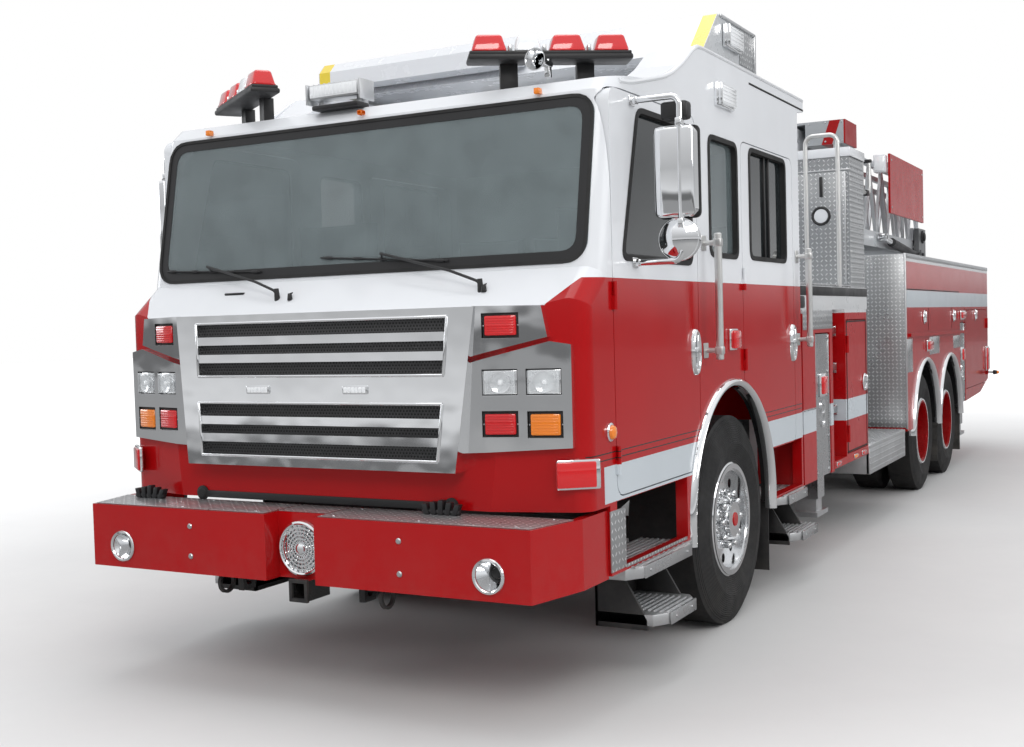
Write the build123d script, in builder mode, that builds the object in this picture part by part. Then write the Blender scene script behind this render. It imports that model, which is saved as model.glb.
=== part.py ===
from build123d import *
import os
from math import hypot

# Aerial platform fire engine, in millimetres.
# Frame: -Y is forward, +X is the driver's side, +Z is up. The origin is on the ground, at the
# middle of the overall length and width. Stations are given as distances aft of the front axle.

# ------------------------------------------------------------------ driving dimensions
FRONT_AXLE_Y = -3682.0       # station 0
REAR_AXLE_AFT = 5560.0       # first rear axle, aft of the front axle
TANDEM_SPACING = 1321.0      # between the two rear axles
BODY_HALF = 1257.0           # half the width over the cab and body sides
BUMPER_AFT = -2250.0         # front face of the bumper

JOINT_GAP = 6.0              # gap round every door and between pieces that move past each other
SEAT_GAP = 0.3               # gap under a piece that slides on its seat
BORE_GAP = 0.05              # radial running clearance of a shaft in its bore

HINGE_RADIUS = 9.0
HINGE_X = BODY_HALF + 12.0   # pivot line of every side door
HINGE_LEAF = 15.0
HINGE_HALF = 60.0            # height of each half of a hinge


def aft(distance):
    """Y of a station this far behind the front axle."""
    return FRONT_AXLE_Y + distance


# ------------------------------------------------------------------ helpers
def block(x, y, z, mode=Mode.ADD):
    """A box between two limits on each axis."""
    with Locations(((x[0] + x[1]) / 2, (y[0] + y[1]) / 2, (z[0] + z[1]) / 2)):
        Box(x[1] - x[0], y[1] - y[0], z[1] - z[0], mode=mode)


def side_plate(points, x0, x1, mode=Mode.ADD):
    """A closed outline of (y, z) points, thick from x0 to x1."""
    with BuildSketch(Plane.YZ.offset(x0)) as outline:
        with BuildLine():
            Polyline(points, close=True)
        make_face()
    extrude(outline.sketch, amount=x1 - x0, mode=mode)


def front_plate(points, y0, y1, mode=Mode.ADD):
    """A closed outline of (x, z) points, thick from y0 to y1."""
    with BuildSketch(Plane.XZ.offset(-y1)) as outline:
        with BuildLine():
            Polyline(points, close=True)
        make_face()
    extrude(outline.sketch, amount=y1 - y0, mode=mode)


def plan_plate(points, z0, z1, mode=Mode.ADD):
    """A closed outline of (x, y) points, thick from z0 to z1."""
    with BuildSketch(Plane.XY.offset(z0)) as outline:
        with BuildLine():
            Polyline(points, close=True)
        make_face()
    extrude(outline.sketch, amount=z1 - z0, mode=mode)


def rod(start, end, radius, mode=Mode.ADD):
    """A round bar between two points."""
    line = Vector(*end) - Vector(*start)
    with BuildSketch(Plane(origin=start, z_dir=line)) as section:
        Circle(radius)
    extrude(section.sketch, amount=line.length, mode=mode)


def rail(points, radius, bend):
    """A bent round tube through points, its corners turned at one radius."""
    with BuildLine() as path:
        FilletPolyline(*points, radius=bend)
    start = path.line @ 0
    with BuildSketch(Plane(origin=start, z_dir=path.line % 0)) as section:
        Circle(radius)
    sweep(section.sketch, path=path.line)


def strut(start, end, width, x0, x1):
    """A flat bar between two (y, z) points, thick from x0 to x1."""
    dy, dz = end[0] - start[0], end[1] - start[1]
    length = hypot(dy, dz)
    ny, nz = -dz / length * width / 2, dy / length * width / 2
    side_plate([(start[0] + ny, start[1] + nz), (end[0] + ny, end[1] + nz),
                (end[0] - ny, end[1] - nz), (start[0] - ny, start[1] - nz)], x0, x1)


def hinge_leaf(x, station, z0, z1, toward):
    """Half of a door's hinge: a barrel on the pivot line and a leaf to one side of it."""
    side = 1 if x > 0 else -1
    y = aft(station)
    rod((x, y, z0), (x, y, z1), HINGE_RADIUS)
    block(sorted((side * (BODY_HALF - 1), x)), sorted((y, y + toward * HINGE_LEAF)), (z0, z1))


def fixed_hinges(station, heights, toward):
    """The fixed halves on both sides; the leaves point away from the door."""
    for side in (-1, 1):
        for z in heights:
            hinge_leaf(side * HINGE_X, station, z - HINGE_HALF, z, -toward)


def door_hinges(station, heights, toward):
    """The driver's side door's halves, each standing on its fixed half."""
    for z in heights:
        hinge_leaf(HINGE_X, station, z + SEAT_GAP, z + HINGE_HALF, toward)


def save(builder, name):
    """Label a finished piece and write it."""
    builder.part.label = name
    export_step(builder.part, f"parts/{name}.step")


# ------------------------------------------------------------------ chassis frame
RAIL_HALF = 432.0            # outer face of the frame rails
RAIL_WEB = 14.0
RAIL_FLANGE = 90.0
RAIL_TOP = 1010.0
RAIL_BOTTOM = 740.0
RAIL_FRONT_AFT = -1900.0
RAIL_REAR_AFT = 9300.0
# crossmembers: station, underside
CROSSMEMBERS = ((-1850.0, 754.0), (300.0, 754.0), (1250.0, 850.0), (2700.0, 760.0), (4300.0, 754.0),
                (6220.0, 754.0), (8600.0, 754.0), (9250.0, 754.0))
CROSSMEMBER_TOP = 936.0
CROSSMEMBER_LENGTH = 80.0


def make_frame():
    with BuildPart() as frame:
        y = (aft(RAIL_FRONT_AFT), aft(RAIL_REAR_AFT))
        block((RAIL_HALF - RAIL_FLANGE, RAIL_HALF), y, (RAIL_BOTTOM, RAIL_TOP))
        block((RAIL_HALF - RAIL_FLANGE, RAIL_HALF - RAIL_WEB), y,
              (RAIL_BOTTOM + RAIL_WEB, RAIL_TOP - RAIL_WEB), Mode.SUBTRACT)
        mirror(about=Plane.YZ)
        for station, underside in CROSSMEMBERS:
            half = CROSSMEMBER_LENGTH / 2
            block((-(RAIL_HALF - RAIL_WEB), RAIL_HALF - RAIL_WEB),
                  (aft(station) - half, aft(station) + half), (underside, CROSSMEMBER_TOP))
        outrigger_boxes()
    save(frame, "frame_rails")


# ------------------------------------------------------------------ wheels and tyres
HUB_Z = 562.0                # front wheel centre, the tyre standing on the ground
REAR_HUB_Z = 545.0
RIM_SEAT = 286.0             # radius of the bead seat
RIM_FLANGE = 300.0
RIM_WALL = 12.0
FRONT_TYRE_OUTER = 1240.0    # outer sidewall from the centre line
FRONT_TYRE_WIDTH = 430.0
REAR_TYRE_OUTER = 1232.0
REAR_TYRE_WIDTH = 286.0
TWIN_GAP = 44.0              # between the sidewalls of a pair
SPINDLE_RADIUS = 60.0
HAND_HOLES = 10
HAND_HOLE_RADIUS = 26.0
HAND_HOLE_CIRCLE = 218.0
RIM_INSET = 28.0             # flange behind the widest part of the sidewall
DRUM_RADIUS = RIM_SEAT - 2 * RIM_WALL
SHOULDER_SHARE = 0.16        # share of the tyre's height turned in at each shoulder
WIDEST_SHARE = 0.45          # share of the tyre's height at which it is widest
HUB_RADIUS = 170.0           # hub and brake drum, behind the disc
HUB_CAP_RADIUS = 95.0
HUB_CAP_WALL = 10.0
FRONT_CAP_LENGTH = 70.0
REAR_CAP_LENGTH = 150.0
FRONT_HUB_LENGTH = 130.0
REAR_HUB_LENGTH = 170.0
FRONT_DISC_INSET = 75.0      # front disc behind the outer sidewall


def tyre(outer_x, width, radius, y, hub_z):
    """A tyre whose outer sidewall is at outer_x, turned about the wheel's centre."""
    inner_x = outer_x - width
    height = radius - RIM_SEAT
    shoulder = height * SHOULDER_SHARE
    widest = hub_z + RIM_SEAT + height * WIDEST_SHARE
    with BuildSketch(Plane.XZ.offset(-y)) as section:
        with BuildLine():
            Polyline([
                (outer_x - RIM_INSET, hub_z + RIM_SEAT), (outer_x - RIM_INSET, hub_z + RIM_FLANGE),
                (outer_x, widest), (outer_x - shoulder / 2, hub_z + radius - shoulder),
                (outer_x - shoulder, hub_z + radius), (inner_x + shoulder, hub_z + radius),
                (inner_x + shoulder / 2, hub_z + radius - shoulder), (inner_x, widest),
                (inner_x + RIM_INSET, hub_z + RIM_FLANGE), (inner_x + RIM_INSET, hub_z + RIM_SEAT),
            ], close=True)
        make_face()
    revolve(section.sketch, axis=Axis((0, y, hub_z), (1, 0, 0)))


def rim(outer_x, width, disc_x, y, hub_z):
    """A wheel: a barrel between the beads, and a disc with hand holes whose face is at disc_x."""
    left, right = outer_x - width + RIM_INSET, outer_x - RIM_INSET
    drum = (min(left, disc_x - RIM_WALL), max(right, disc_x))
    with BuildSketch(Plane.XZ.offset(-y)) as section:
        for edge, side in ((left, -1), (right, 1)):
            with BuildLine():
                Polyline([(edge, hub_z + RIM_SEAT - RIM_WALL), (edge, hub_z + RIM_FLANGE),
                          (edge + side * RIM_WALL, hub_z + RIM_FLANGE),
                          (edge + side * RIM_WALL, hub_z + RIM_SEAT - RIM_WALL)], close=True)
            make_face()
        with BuildLine():
            Polyline([(drum[0], hub_z + RIM_SEAT - RIM_WALL), (drum[0], hub_z + DRUM_RADIUS),
                      (drum[1], hub_z + DRUM_RADIUS), (drum[1], hub_z + RIM_SEAT - RIM_WALL)],
                     close=True)
        make_face()
        with BuildLine():
            Polyline([(left, hub_z + RIM_SEAT - RIM_WALL), (left, hub_z + RIM_SEAT),
                      (right, hub_z + RIM_SEAT), (right, hub_z + RIM_SEAT - RIM_WALL)], close=True)
        make_face()
    revolve(section.sketch, axis=Axis((0, y, hub_z), (1, 0, 0)))
    with BuildSketch(Plane((disc_x, y, hub_z), z_dir=(-1, 0, 0))) as disc:
        Circle(RIM_SEAT - RIM_WALL)
        with PolarLocations(HAND_HOLE_CIRCLE, HAND_HOLES):
            Circle(HAND_HOLE_RADIUS, mode=Mode.SUBTRACT)
    extrude(disc.sketch, amount=RIM_WALL)


def hub(disc_x, y, hub_z, length, cap_length):
    """A hub behind the disc and its cap in front, bored for the spindle."""
    rod((disc_x - length, y, hub_z), (disc_x, y, hub_z), HUB_RADIUS)
    rod((disc_x, y, hub_z), (disc_x + cap_length, y, hub_z), HUB_CAP_RADIUS)
    rod((disc_x - length, y, hub_z), (disc_x + cap_length - HUB_CAP_WALL, y, hub_z),
        SPINDLE_RADIUS + BORE_GAP, Mode.SUBTRACT)


FRONT_DISC_X = FRONT_TYRE_OUTER - FRONT_DISC_INSET
FRONT_SPINDLE_END = FRONT_DISC_X + FRONT_CAP_LENGTH - HUB_CAP_WALL - JOINT_GAP
REAR_DISC_X = REAR_TYRE_OUTER - REAR_TYRE_WIDTH - TWIN_GAP / 2
REAR_SPINDLE_END = REAR_DISC_X + REAR_CAP_LENGTH - HUB_CAP_WALL - JOINT_GAP
REAR_AXLES = (("1", REAR_AXLE_AFT), ("2", REAR_AXLE_AFT + TANDEM_SPACING))   # name, station


def make_wheels():
    """Each wheel is made on the driver's side and mirrored for the other."""
    with BuildPart() as front_tyre:
        tyre(FRONT_TYRE_OUTER, FRONT_TYRE_WIDTH, HUB_Z, aft(0), HUB_Z)
    with BuildPart() as front_rim:
        rim(FRONT_TYRE_OUTER, FRONT_TYRE_WIDTH, FRONT_DISC_X, aft(0), HUB_Z)
        hub(FRONT_DISC_X, aft(0), HUB_Z, FRONT_HUB_LENGTH, FRONT_CAP_LENGTH)
    save_pair(front_tyre, "tyre_front")
    save_pair(front_rim, "rim_front")
    for name, station in REAR_AXLES:
        y = aft(station)
        inner = REAR_TYRE_OUTER - REAR_TYRE_WIDTH - TWIN_GAP
        with BuildPart() as rear_tyres:
            tyre(REAR_TYRE_OUTER, REAR_TYRE_WIDTH, REAR_HUB_Z, y, REAR_HUB_Z)
            tyre(inner, REAR_TYRE_WIDTH, REAR_HUB_Z, y, REAR_HUB_Z)
        with BuildPart() as rear_rims:
            rim(REAR_TYRE_OUTER, REAR_TYRE_WIDTH, REAR_DISC_X + RIM_WALL, y, REAR_HUB_Z)
            rim(inner, REAR_TYRE_WIDTH, REAR_DISC_X, y, REAR_HUB_Z)
            hub(REAR_DISC_X, y, REAR_HUB_Z, REAR_HUB_LENGTH, REAR_CAP_LENGTH)
        save_pair(rear_tyres, f"tyres_rear_{name}")
        save_pair(rear_rims, f"rims_rear_{name}")


def save_pair(builder, name):
    """Write a driver's-side piece, and its mirror image for the other side."""
    save(builder, f"{name}_left")
    with BuildPart() as other:
        add(mirror(builder.part, about=Plane.YZ, mode=Mode.PRIVATE))
    save(other, f"{name}_right")


# ------------------------------------------------------------------ axles and steering
KINGPIN_X = 880.0
KINGPIN_RADIUS = 25.0
AXLE_EYE_RADIUS = 60.0
AXLE_EYE = (HUB_Z - 62, HUB_Z + 58)        # bottom and top of the axle's end eye
KNUCKLE_LUG = 42.0                          # thickness of each knuckle lug
KNUCKLE_END_PLAY = 2.0                      # above and below the axle's eye
AXLE_BEAM_HALF = 52.0                       # half the front beam's width
AXLE_BEAM = (430.0, 540.0)                  # bottom and top of the front beam
SPRING_X = (392.0, 468.0)                   # leaf springs, under the frame rails
SPRING_HALF_LENGTH = 760.0
SPRING_DEPTH = 70.0
SPRING_HANGER = 60.0                        # length of the hangers at the spring's ends
AXLE_TUBE_RADIUS = 75.0
BOWL_RADIUS = 215.0
BOWL_HALF = 140.0
SHAFT_RADIUS = 55.0
SHAFT_FRONT_AFT = 700.0                     # front end of the propeller shaft
GEARBOX_RADIUS = 210.0
KNUCKLE_WEB = (70.0, 150.0)                 # knuckle's web, outboard of the kingpin


def make_front_axle():
    with BuildPart() as axle:
        y = aft(0)
        block((-KINGPIN_X, KINGPIN_X), (y - AXLE_BEAM_HALF, y + AXLE_BEAM_HALF), AXLE_BEAM)
        for side in (-1, 1):
            rod((side * KINGPIN_X, y, AXLE_EYE[0]), (side * KINGPIN_X, y, AXLE_EYE[1]),
                AXLE_EYE_RADIUS)
            room = sorted((side * (KINGPIN_X - 130), side * (KINGPIN_X + 130)))
            block(room, (y - 90, y + 90), (AXLE_BEAM[0] - 1, AXLE_EYE[0]), Mode.SUBTRACT)
            rod((side * KINGPIN_X, y, AXLE_EYE[0]), (side * KINGPIN_X, y, AXLE_EYE[1]),
                KINGPIN_RADIUS + BORE_GAP, Mode.SUBTRACT)
            x = sorted((side * SPRING_X[0], side * SPRING_X[1]))
            top = AXLE_BEAM[1] + SPRING_DEPTH
            side_plate([(y - SPRING_HALF_LENGTH, RAIL_BOTTOM - SPRING_DEPTH),
                        (y - 150, AXLE_BEAM[1]), (y + 150, AXLE_BEAM[1]),
                        (y + SPRING_HALF_LENGTH, RAIL_BOTTOM - SPRING_DEPTH),
                        (y + SPRING_HALF_LENGTH, RAIL_BOTTOM),
                        (y + SPRING_HALF_LENGTH - SPRING_HANGER, RAIL_BOTTOM),
                        (y + SPRING_HALF_LENGTH - SPRING_HANGER, RAIL_BOTTOM - SPRING_DEPTH / 2),
                        (y + 150, top), (y - 150, top),
                        (y - SPRING_HALF_LENGTH + SPRING_HANGER, RAIL_BOTTOM - SPRING_DEPTH / 2),
                        (y - SPRING_HALF_LENGTH + SPRING_HANGER, RAIL_BOTTOM),
                        (y - SPRING_HALF_LENGTH, RAIL_BOTTOM)], *x)
    save(axle, "front_axle")


def make_knuckle():
    """The lugs, web, kingpin and spindle of the driver's side, and their mirror image."""
    with BuildPart() as knuckle:
        y = aft(0)
        low, high = AXLE_EYE[0] - KNUCKLE_END_PLAY, AXLE_EYE[1] + KNUCKLE_END_PLAY
        for z in ((low - KNUCKLE_LUG, low), (high, high + KNUCKLE_LUG)):
            rod((KINGPIN_X, y, z[0]), (KINGPIN_X, y, z[1]), AXLE_EYE_RADIUS)
            block((KINGPIN_X, KINGPIN_X + KNUCKLE_WEB[1]), (y - AXLE_EYE_RADIUS, y + AXLE_EYE_RADIUS), z)
        block((KINGPIN_X + KNUCKLE_WEB[0], KINGPIN_X + KNUCKLE_WEB[1]),
              (y - AXLE_EYE_RADIUS, y + AXLE_EYE_RADIUS), (low - KNUCKLE_LUG, high + KNUCKLE_LUG))
        rod((KINGPIN_X, y, low - KNUCKLE_LUG), (KINGPIN_X, y, high + KNUCKLE_LUG), KINGPIN_RADIUS)
        rod((KINGPIN_X + KNUCKLE_WEB[0], y, HUB_Z), (FRONT_SPINDLE_END, y, HUB_Z), SPINDLE_RADIUS)
    save_pair(knuckle, "knuckle")


def make_rear_axles():
    """Both drive axles, their springs and the propeller shafts, joined by the shafts."""
    with BuildPart() as axles:
        for _, station in REAR_AXLES:
            y = aft(station)
            tube_end = REAR_DISC_X - REAR_HUB_LENGTH - JOINT_GAP
            rod((-tube_end, y, REAR_HUB_Z), (tube_end, y, REAR_HUB_Z), AXLE_TUBE_RADIUS)
            rod((-REAR_SPINDLE_END, y, REAR_HUB_Z), (REAR_SPINDLE_END, y, REAR_HUB_Z), SPINDLE_RADIUS)
            rod((-BOWL_HALF, y, REAR_HUB_Z), (BOWL_HALF, y, REAR_HUB_Z), BOWL_RADIUS)
        first, last = aft(REAR_AXLES[0][1]), aft(REAR_AXLES[1][1])
        middle = (first + last) / 2
        for side in (-1, 1):
            x = sorted((side * SPRING_X[0], side * SPRING_X[1]))
            low, high = REAR_HUB_Z - 20, RAIL_BOTTOM
            side_plate([(first - 110, low), (last + 110, low), (last + 110, low + 80),
                        (middle + 130, high), (middle - 130, high), (first - 110, low + 80)], *x)
        rod((0, aft(SHAFT_FRONT_AFT) - 20, RAIL_BOTTOM + 61), (0, first, REAR_HUB_Z), SHAFT_RADIUS)
        block((-SHAFT_RADIUS * 2, SHAFT_RADIUS * 2), (aft(SHAFT_FRONT_AFT) - 60, aft(SHAFT_FRONT_AFT)),
              (RAIL_BOTTOM - 60, RAIL_TOP), Mode.SUBTRACT)
        rod((0, first, REAR_HUB_Z), (0, last, REAR_HUB_Z), SHAFT_RADIUS)
    save(axles, "rear_axles")


ENGINE_HALF = 335.0
ENGINE_AFT = (-1350.0, 120.0)
ENGINE_Z = (690.0, 1470.0)
ENGINE_MOUNTS = (-1100.0, -100.0)    # stations of the engine's feet on the rails
ENGINE_FOOT = 60.0


def make_engine():
    """The engine as one plain block, its gearbox behind it, and its feet on the rails' webs."""
    with BuildPart() as engine:
        block((-ENGINE_HALF, ENGINE_HALF), (aft(ENGINE_AFT[0]), aft(ENGINE_AFT[1])), ENGINE_Z)
        rod((0, aft(ENGINE_AFT[1]), RAIL_BOTTOM + 60), (0, aft(SHAFT_FRONT_AFT), RAIL_BOTTOM + 60),
            GEARBOX_RADIUS)
        block((-(RAIL_HALF - RAIL_WEB), RAIL_HALF - RAIL_WEB),
              (aft(CROSSMEMBERS[1][0]) - CROSSMEMBER_LENGTH, aft(CROSSMEMBERS[1][0]) + CROSSMEMBER_LENGTH),
              (RAIL_BOTTOM, RAIL_TOP), Mode.SUBTRACT)
        for station in ENGINE_MOUNTS:
            block((-(RAIL_HALF - RAIL_WEB), RAIL_HALF - RAIL_WEB),
                  (aft(station) - ENGINE_FOOT, aft(station) + ENGINE_FOOT),
                  (RAIL_BOTTOM + 100, RAIL_BOTTOM + 160))
    save(engine, "engine_block")


# ------------------------------------------------------------------ cab
CAB_WALL = 60.0              # walls, doors and roof are this thick
CAB_FRONT_AFT = -1985.0      # lower front face at the centre line
CAB_REAR_AFT = 1300.0
CAB_FLOOR = (1040.0, 1090.0)
CAB_SKIRT_Z = 575.0
APRON_Z = 875.0              # lower edge of the front, above the bumper
COWL = ((-1960.0, 1700.0), (-1740.0, 1885.0))       # cowl's front and rear edges, (station, z)
SCREEN_TOP = (-1600.0, 2640.0)                      # windscreen's head
ROOF_FRONT = (-1530.0, 2700.0)
ROOF_RECESS = (-1000.0, 2760.0)                     # where the roof's middle levels out
SWEPT_WIDTH = 407.0          # width of each swept part of the front
CORNER_SWEEP = (BODY_HALF - SWEPT_WIDTH, 105.0)     # front is swept back outboard of x, by this much
CORNER_RADIUS = 85.0
HUMP_WIDTH = 257.0
HUMP_INNER = BODY_HALF - HUMP_WIDTH                 # raised roof sides, outboard of this
HUMP = ((-1350.0, 2690.0), (-900.0, 2790.0), (-690.0, 2890.0), (-520.0, 3005.0),
        (-430.0, 3018.0), (1438.0, 3018.0), (1438.0, 2940.0), (1300.0, 2925.0), (1300.0, 2690.0))
ARCH_CENTRE = (-50.0, 640.0)                        # front wheel arch, (station, z)
ARCH_RADIUS = 650.0
ARCH_LIP = 50.0                                     # body left between the arch and a door
WELL_X = 470.0                                      # inner wall of the front wheel housing
WELL_AFT = (-770.0, 740.0)
WELL_TOP = 1300.0
WELL_WALL = 30.0
TUNNEL_HALF = 372.0
TUNNEL_AFT = (-1450.0, 175.0)
TUNNEL_TOP = 1490.0
CAB_MOUNTS = (-1650.0, 1100.0)                      # stations of the cab's mounts on the rails
CAB_MOUNT_HALF = 60.0
SCREEN_HALF = BODY_HALF - 107.0
SCREEN_Z = (1925.0, 2600.0)
SCREEN_CORNER = 95.0
GLASS = 12.0
GLASS_LAP = 50.0             # windscreen's margin on the pillars
STEP_WELL_Z = (590.0, 885.0)
FRONT_WELL_AFT = (-1614.0, -770.0)
REAR_WELL_AFT = (640.0, 1270.0)
DOOR_CORNER = 60.0
WINDOW_CORNER = 55.0
# doors: name, front station, rear station, bottom z, top z
DOORS = (("front", -1600.0, -560.0, 905.0, 2645.0), ("crew", 156.0, 1147.0, 880.0, 2610.0))
DOOR_HINGES = {"front": (1060.0, 1760.0), "crew": (1420.0, 1860.0)}     # heights of the hinges
# windows: front station, rear station, bottom z, top z
FRONT_WINDOW = (-1486.0, -640.0, 1926.0, 2583.0)
FRONT_WINDOW_SLANT = 195.0   # front window's upper front corner, aft of its lower one
MIDDLE_WINDOW = (-362.0, 76.0, 1979.0, 2578.0)
CREW_WINDOW = (303.0, 995.0, 1984.0, 2583.0)


def rounded_side(front, rear, low, high, corner, x0, x1, mode=Mode.ADD):
    """A rounded rectangle between two stations and two heights, thick from x0 to x1."""
    with BuildSketch(Plane.YZ.offset(x0)) as outline:
        with Locations((aft((front + rear) / 2), (low + high) / 2)):
            RectangleRounded(rear - front, high - low, corner)
    extrude(outline.sketch, amount=x1 - x0, mode=mode)


def front_window(x0, x1, mode):
    """The front door's window, its front edge raked."""
    front, rear, low, high = FRONT_WINDOW
    with BuildSketch(Plane.YZ.offset(x0)) as outline:
        with BuildLine():
            Polyline([(aft(front), low), (aft(rear), low), (aft(rear), high),
                      (aft(front + FRONT_WINDOW_SLANT), high)], close=True)
        make_face()
        fillet(outline.vertices(), WINDOW_CORNER)
    extrude(outline.sketch, amount=x1 - x0, mode=mode)


def door_region(door, grow):
    """The space of a door, grown all round, clear of the wheel arch's lip."""
    _, front, rear, low, high = door
    with BuildPart() as region:
        rounded_side(front - grow, rear + grow, low - grow, high + grow, DOOR_CORNER + grow,
                     BODY_HALF - CAB_WALL - grow, BODY_HALF + grow)
        rod((BODY_HALF - CAB_WALL - 2 * grow - 1, aft(ARCH_CENTRE[0]), ARCH_CENTRE[1]),
            (BODY_HALF + 2 * grow + 1, aft(ARCH_CENTRE[0]), ARCH_CENTRE[1]),
            ARCH_RADIUS + ARCH_LIP - grow, Mode.SUBTRACT)
    return region.part


def cab_outline(inset):
    """The cab's side outline as (y, z) points, its front and roof moved in by the inset."""
    points = [(CAB_FRONT_AFT + inset, APRON_Z)]
    points += [(COWL[0][0] + inset, COWL[0][1] - inset * 0.3),
               (COWL[1][0] + inset, COWL[1][1] - inset * 0.4),
               (SCREEN_TOP[0] + inset, SCREEN_TOP[1] - inset / 2),
               (ROOF_FRONT[0] + inset / 2, ROOF_FRONT[1] - inset),
               (ROOF_RECESS[0], ROOF_RECESS[1] - inset),
               (CAB_REAR_AFT - inset, ROOF_RECESS[1] - inset)]
    return [(aft(station), z) for station, z in points]


def screen_slab(lap):
    """The windscreen's glass: a rounded rectangle cut from a slab along the raked front."""
    with BuildPart() as slab:
        base, head = COWL[1], SCREEN_TOP
        side_plate([(aft(base[0]), base[1]), (aft(head[0]), head[1]),
                    (aft(head[0]) + GLASS, head[1]), (aft(base[0]) + GLASS, base[1])],
                   -BODY_HALF, BODY_HALF)
        with BuildSketch(Plane.XZ.offset(-aft(0))) as outline:
            with Locations((0, (SCREEN_Z[0] + SCREEN_Z[1]) / 2)):
                RectangleRounded(2 * (SCREEN_HALF + lap), SCREEN_Z[1] - SCREEN_Z[0] + lap,
                                 SCREEN_CORNER)
        extrude(outline.sketch, amount=-CAB_FRONT_AFT, mode=Mode.INTERSECT)
    return slab.part


def sweep_corners(depth):
    """Cuts the front corners back outboard of the sweep's start, this deep behind the front face."""
    sweep_x, sweep_depth = CORNER_SWEEP
    front = aft(CAB_FRONT_AFT) + depth
    for side in (-1, 1):
        plan_plate([(side * sweep_x, front), (side * BODY_HALF, front + sweep_depth),
                    (side * (BODY_HALF + 1), front - depth - 1), (side * sweep_x, front - depth - 1)],
                   CAB_SKIRT_Z - 1, COWL[1][1], Mode.SUBTRACT)


def cab_body():
    """The cab's outer form, before it is hollowed."""
    with BuildPart() as body:
        side_plate(cab_outline(0) + [(aft(CAB_REAR_AFT), CAB_SKIRT_Z),
                                     (aft(BUMPER_END_AFT + JOINT_GAP), CAB_SKIRT_Z),
                                     (aft(BUMPER_END_AFT + JOINT_GAP), APRON_Z)],
                   -BODY_HALF, BODY_HALF)
        sweep_corners(0)
        corners = body.edges().filter_by(
            lambda edge: abs(abs(edge.center().X) - BODY_HALF) < 1
            and edge.center().Y < aft(ROOF_FRONT[0]) and edge.center().Z > APRON_Z + 20)
        fillet(corners, CORNER_RADIUS)
        for side in (-1, 1):
            side_plate([(aft(station), z) for station, z in HUMP],
                       *sorted((side * HUMP_INNER, side * BODY_HALF)))
    return body.part


def make_cab(body):
    openings = [door_region(door, JOINT_GAP) for door in DOORS]
    glass = screen_slab(GLASS_LAP)
    with BuildPart() as hollow:
        cavity = cab_outline(CAB_WALL)
        cavity[0] = (cavity[0][0], CAB_FLOOR[1])
        side_plate(cavity + [(aft(CAB_REAR_AFT - CAB_WALL), CAB_FLOOR[1])],
                   -(BODY_HALF - CAB_WALL), BODY_HALF - CAB_WALL)
        block((-(BODY_HALF - CAB_WALL), BODY_HALF - CAB_WALL),
              (aft(CAB_FRONT_AFT + CAB_WALL), aft(CAB_REAR_AFT) + 1),
              (CAB_SKIRT_Z - 1, CAB_FLOOR[0]))
        sweep_corners(CAB_WALL)
    with BuildPart() as cab:
        add(body)
        add(hollow.part, mode=Mode.SUBTRACT)
        y_well = (aft(WELL_AFT[0]), aft(WELL_AFT[1]))
        for side in (-1, 1):
            block(sorted((side * (WELL_X - WELL_WALL), side * (BODY_HALF - CAB_WALL))),
                  (y_well[0] - WELL_WALL, y_well[1] + WELL_WALL), (CAB_FLOOR[0], WELL_TOP + WELL_WALL))
            block(sorted((side * WELL_X, side * (BODY_HALF - CAB_WALL))), y_well,
                  (CAB_FLOOR[0] - 1, WELL_TOP), Mode.SUBTRACT)
            rod((side * (BODY_HALF - CAB_WALL - 1), aft(ARCH_CENTRE[0]), ARCH_CENTRE[1]),
                (side * (BODY_HALF + 1), aft(ARCH_CENTRE[0]), ARCH_CENTRE[1]),
                ARCH_RADIUS, Mode.SUBTRACT)
            for well in (FRONT_WELL_AFT, REAR_WELL_AFT):
                block(sorted((side * (BODY_HALF - CAB_WALL - 1), side * (BODY_HALF + 1))),
                      (aft(well[0]), aft(well[1])), STEP_WELL_Z, Mode.SUBTRACT)
            for station in CAB_MOUNTS:
                block(sorted((side * (RAIL_HALF - RAIL_FLANGE), side * RAIL_HALF)),
                      (aft(station) - CAB_MOUNT_HALF, aft(station) + CAB_MOUNT_HALF),
                      (RAIL_TOP, CAB_FLOOR[0]))
        y_tunnel = (aft(TUNNEL_AFT[0]), aft(TUNNEL_AFT[1]))
        block((-TUNNEL_HALF - WELL_WALL, TUNNEL_HALF + WELL_WALL),
              (y_tunnel[0] - WELL_WALL, y_tunnel[1] + WELL_WALL), (CAB_FLOOR[0], TUNNEL_TOP + WELL_WALL))
        block((-TUNNEL_HALF, TUNNEL_HALF), y_tunnel, (CAB_FLOOR[0] - 1, TUNNEL_TOP), Mode.SUBTRACT)
        for opening in openings:
            add(opening, mode=Mode.SUBTRACT)
            add(mirror(opening, about=Plane.YZ, mode=Mode.PRIVATE), mode=Mode.SUBTRACT)
        rounded_side(*MIDDLE_WINDOW, WINDOW_CORNER, -BODY_HALF - 1, BODY_HALF + 1, Mode.SUBTRACT)
        for door in DOORS:
            fixed_hinges(door[1] - JOINT_GAP / 2, DOOR_HINGES[door[0]], 1)
        with BuildSketch(Plane.XZ.offset(-aft(ROOF_FRONT[0] + CAB_WALL))) as screen:
            with Locations((0, (SCREEN_Z[0] + SCREEN_Z[1]) / 2)):
                RectangleRounded(2 * SCREEN_HALF, SCREEN_Z[1] - SCREEN_Z[0], SCREEN_CORNER)
        extrude(screen.sketch, amount=-CAB_FRONT_AFT + ROOF_FRONT[0], mode=Mode.SUBTRACT)
        add(glass, mode=Mode.SUBTRACT)
    with BuildPart() as panes:
        add(glass)
        for side in (-1, 1):
            middle = side * (BODY_HALF - CAB_WALL / 2)
            rounded_side(*MIDDLE_WINDOW, WINDOW_CORNER, middle - GLASS / 2, middle + GLASS / 2)
    save(cab, "cab_shell")
    save(panes, "cab_glass")


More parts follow.
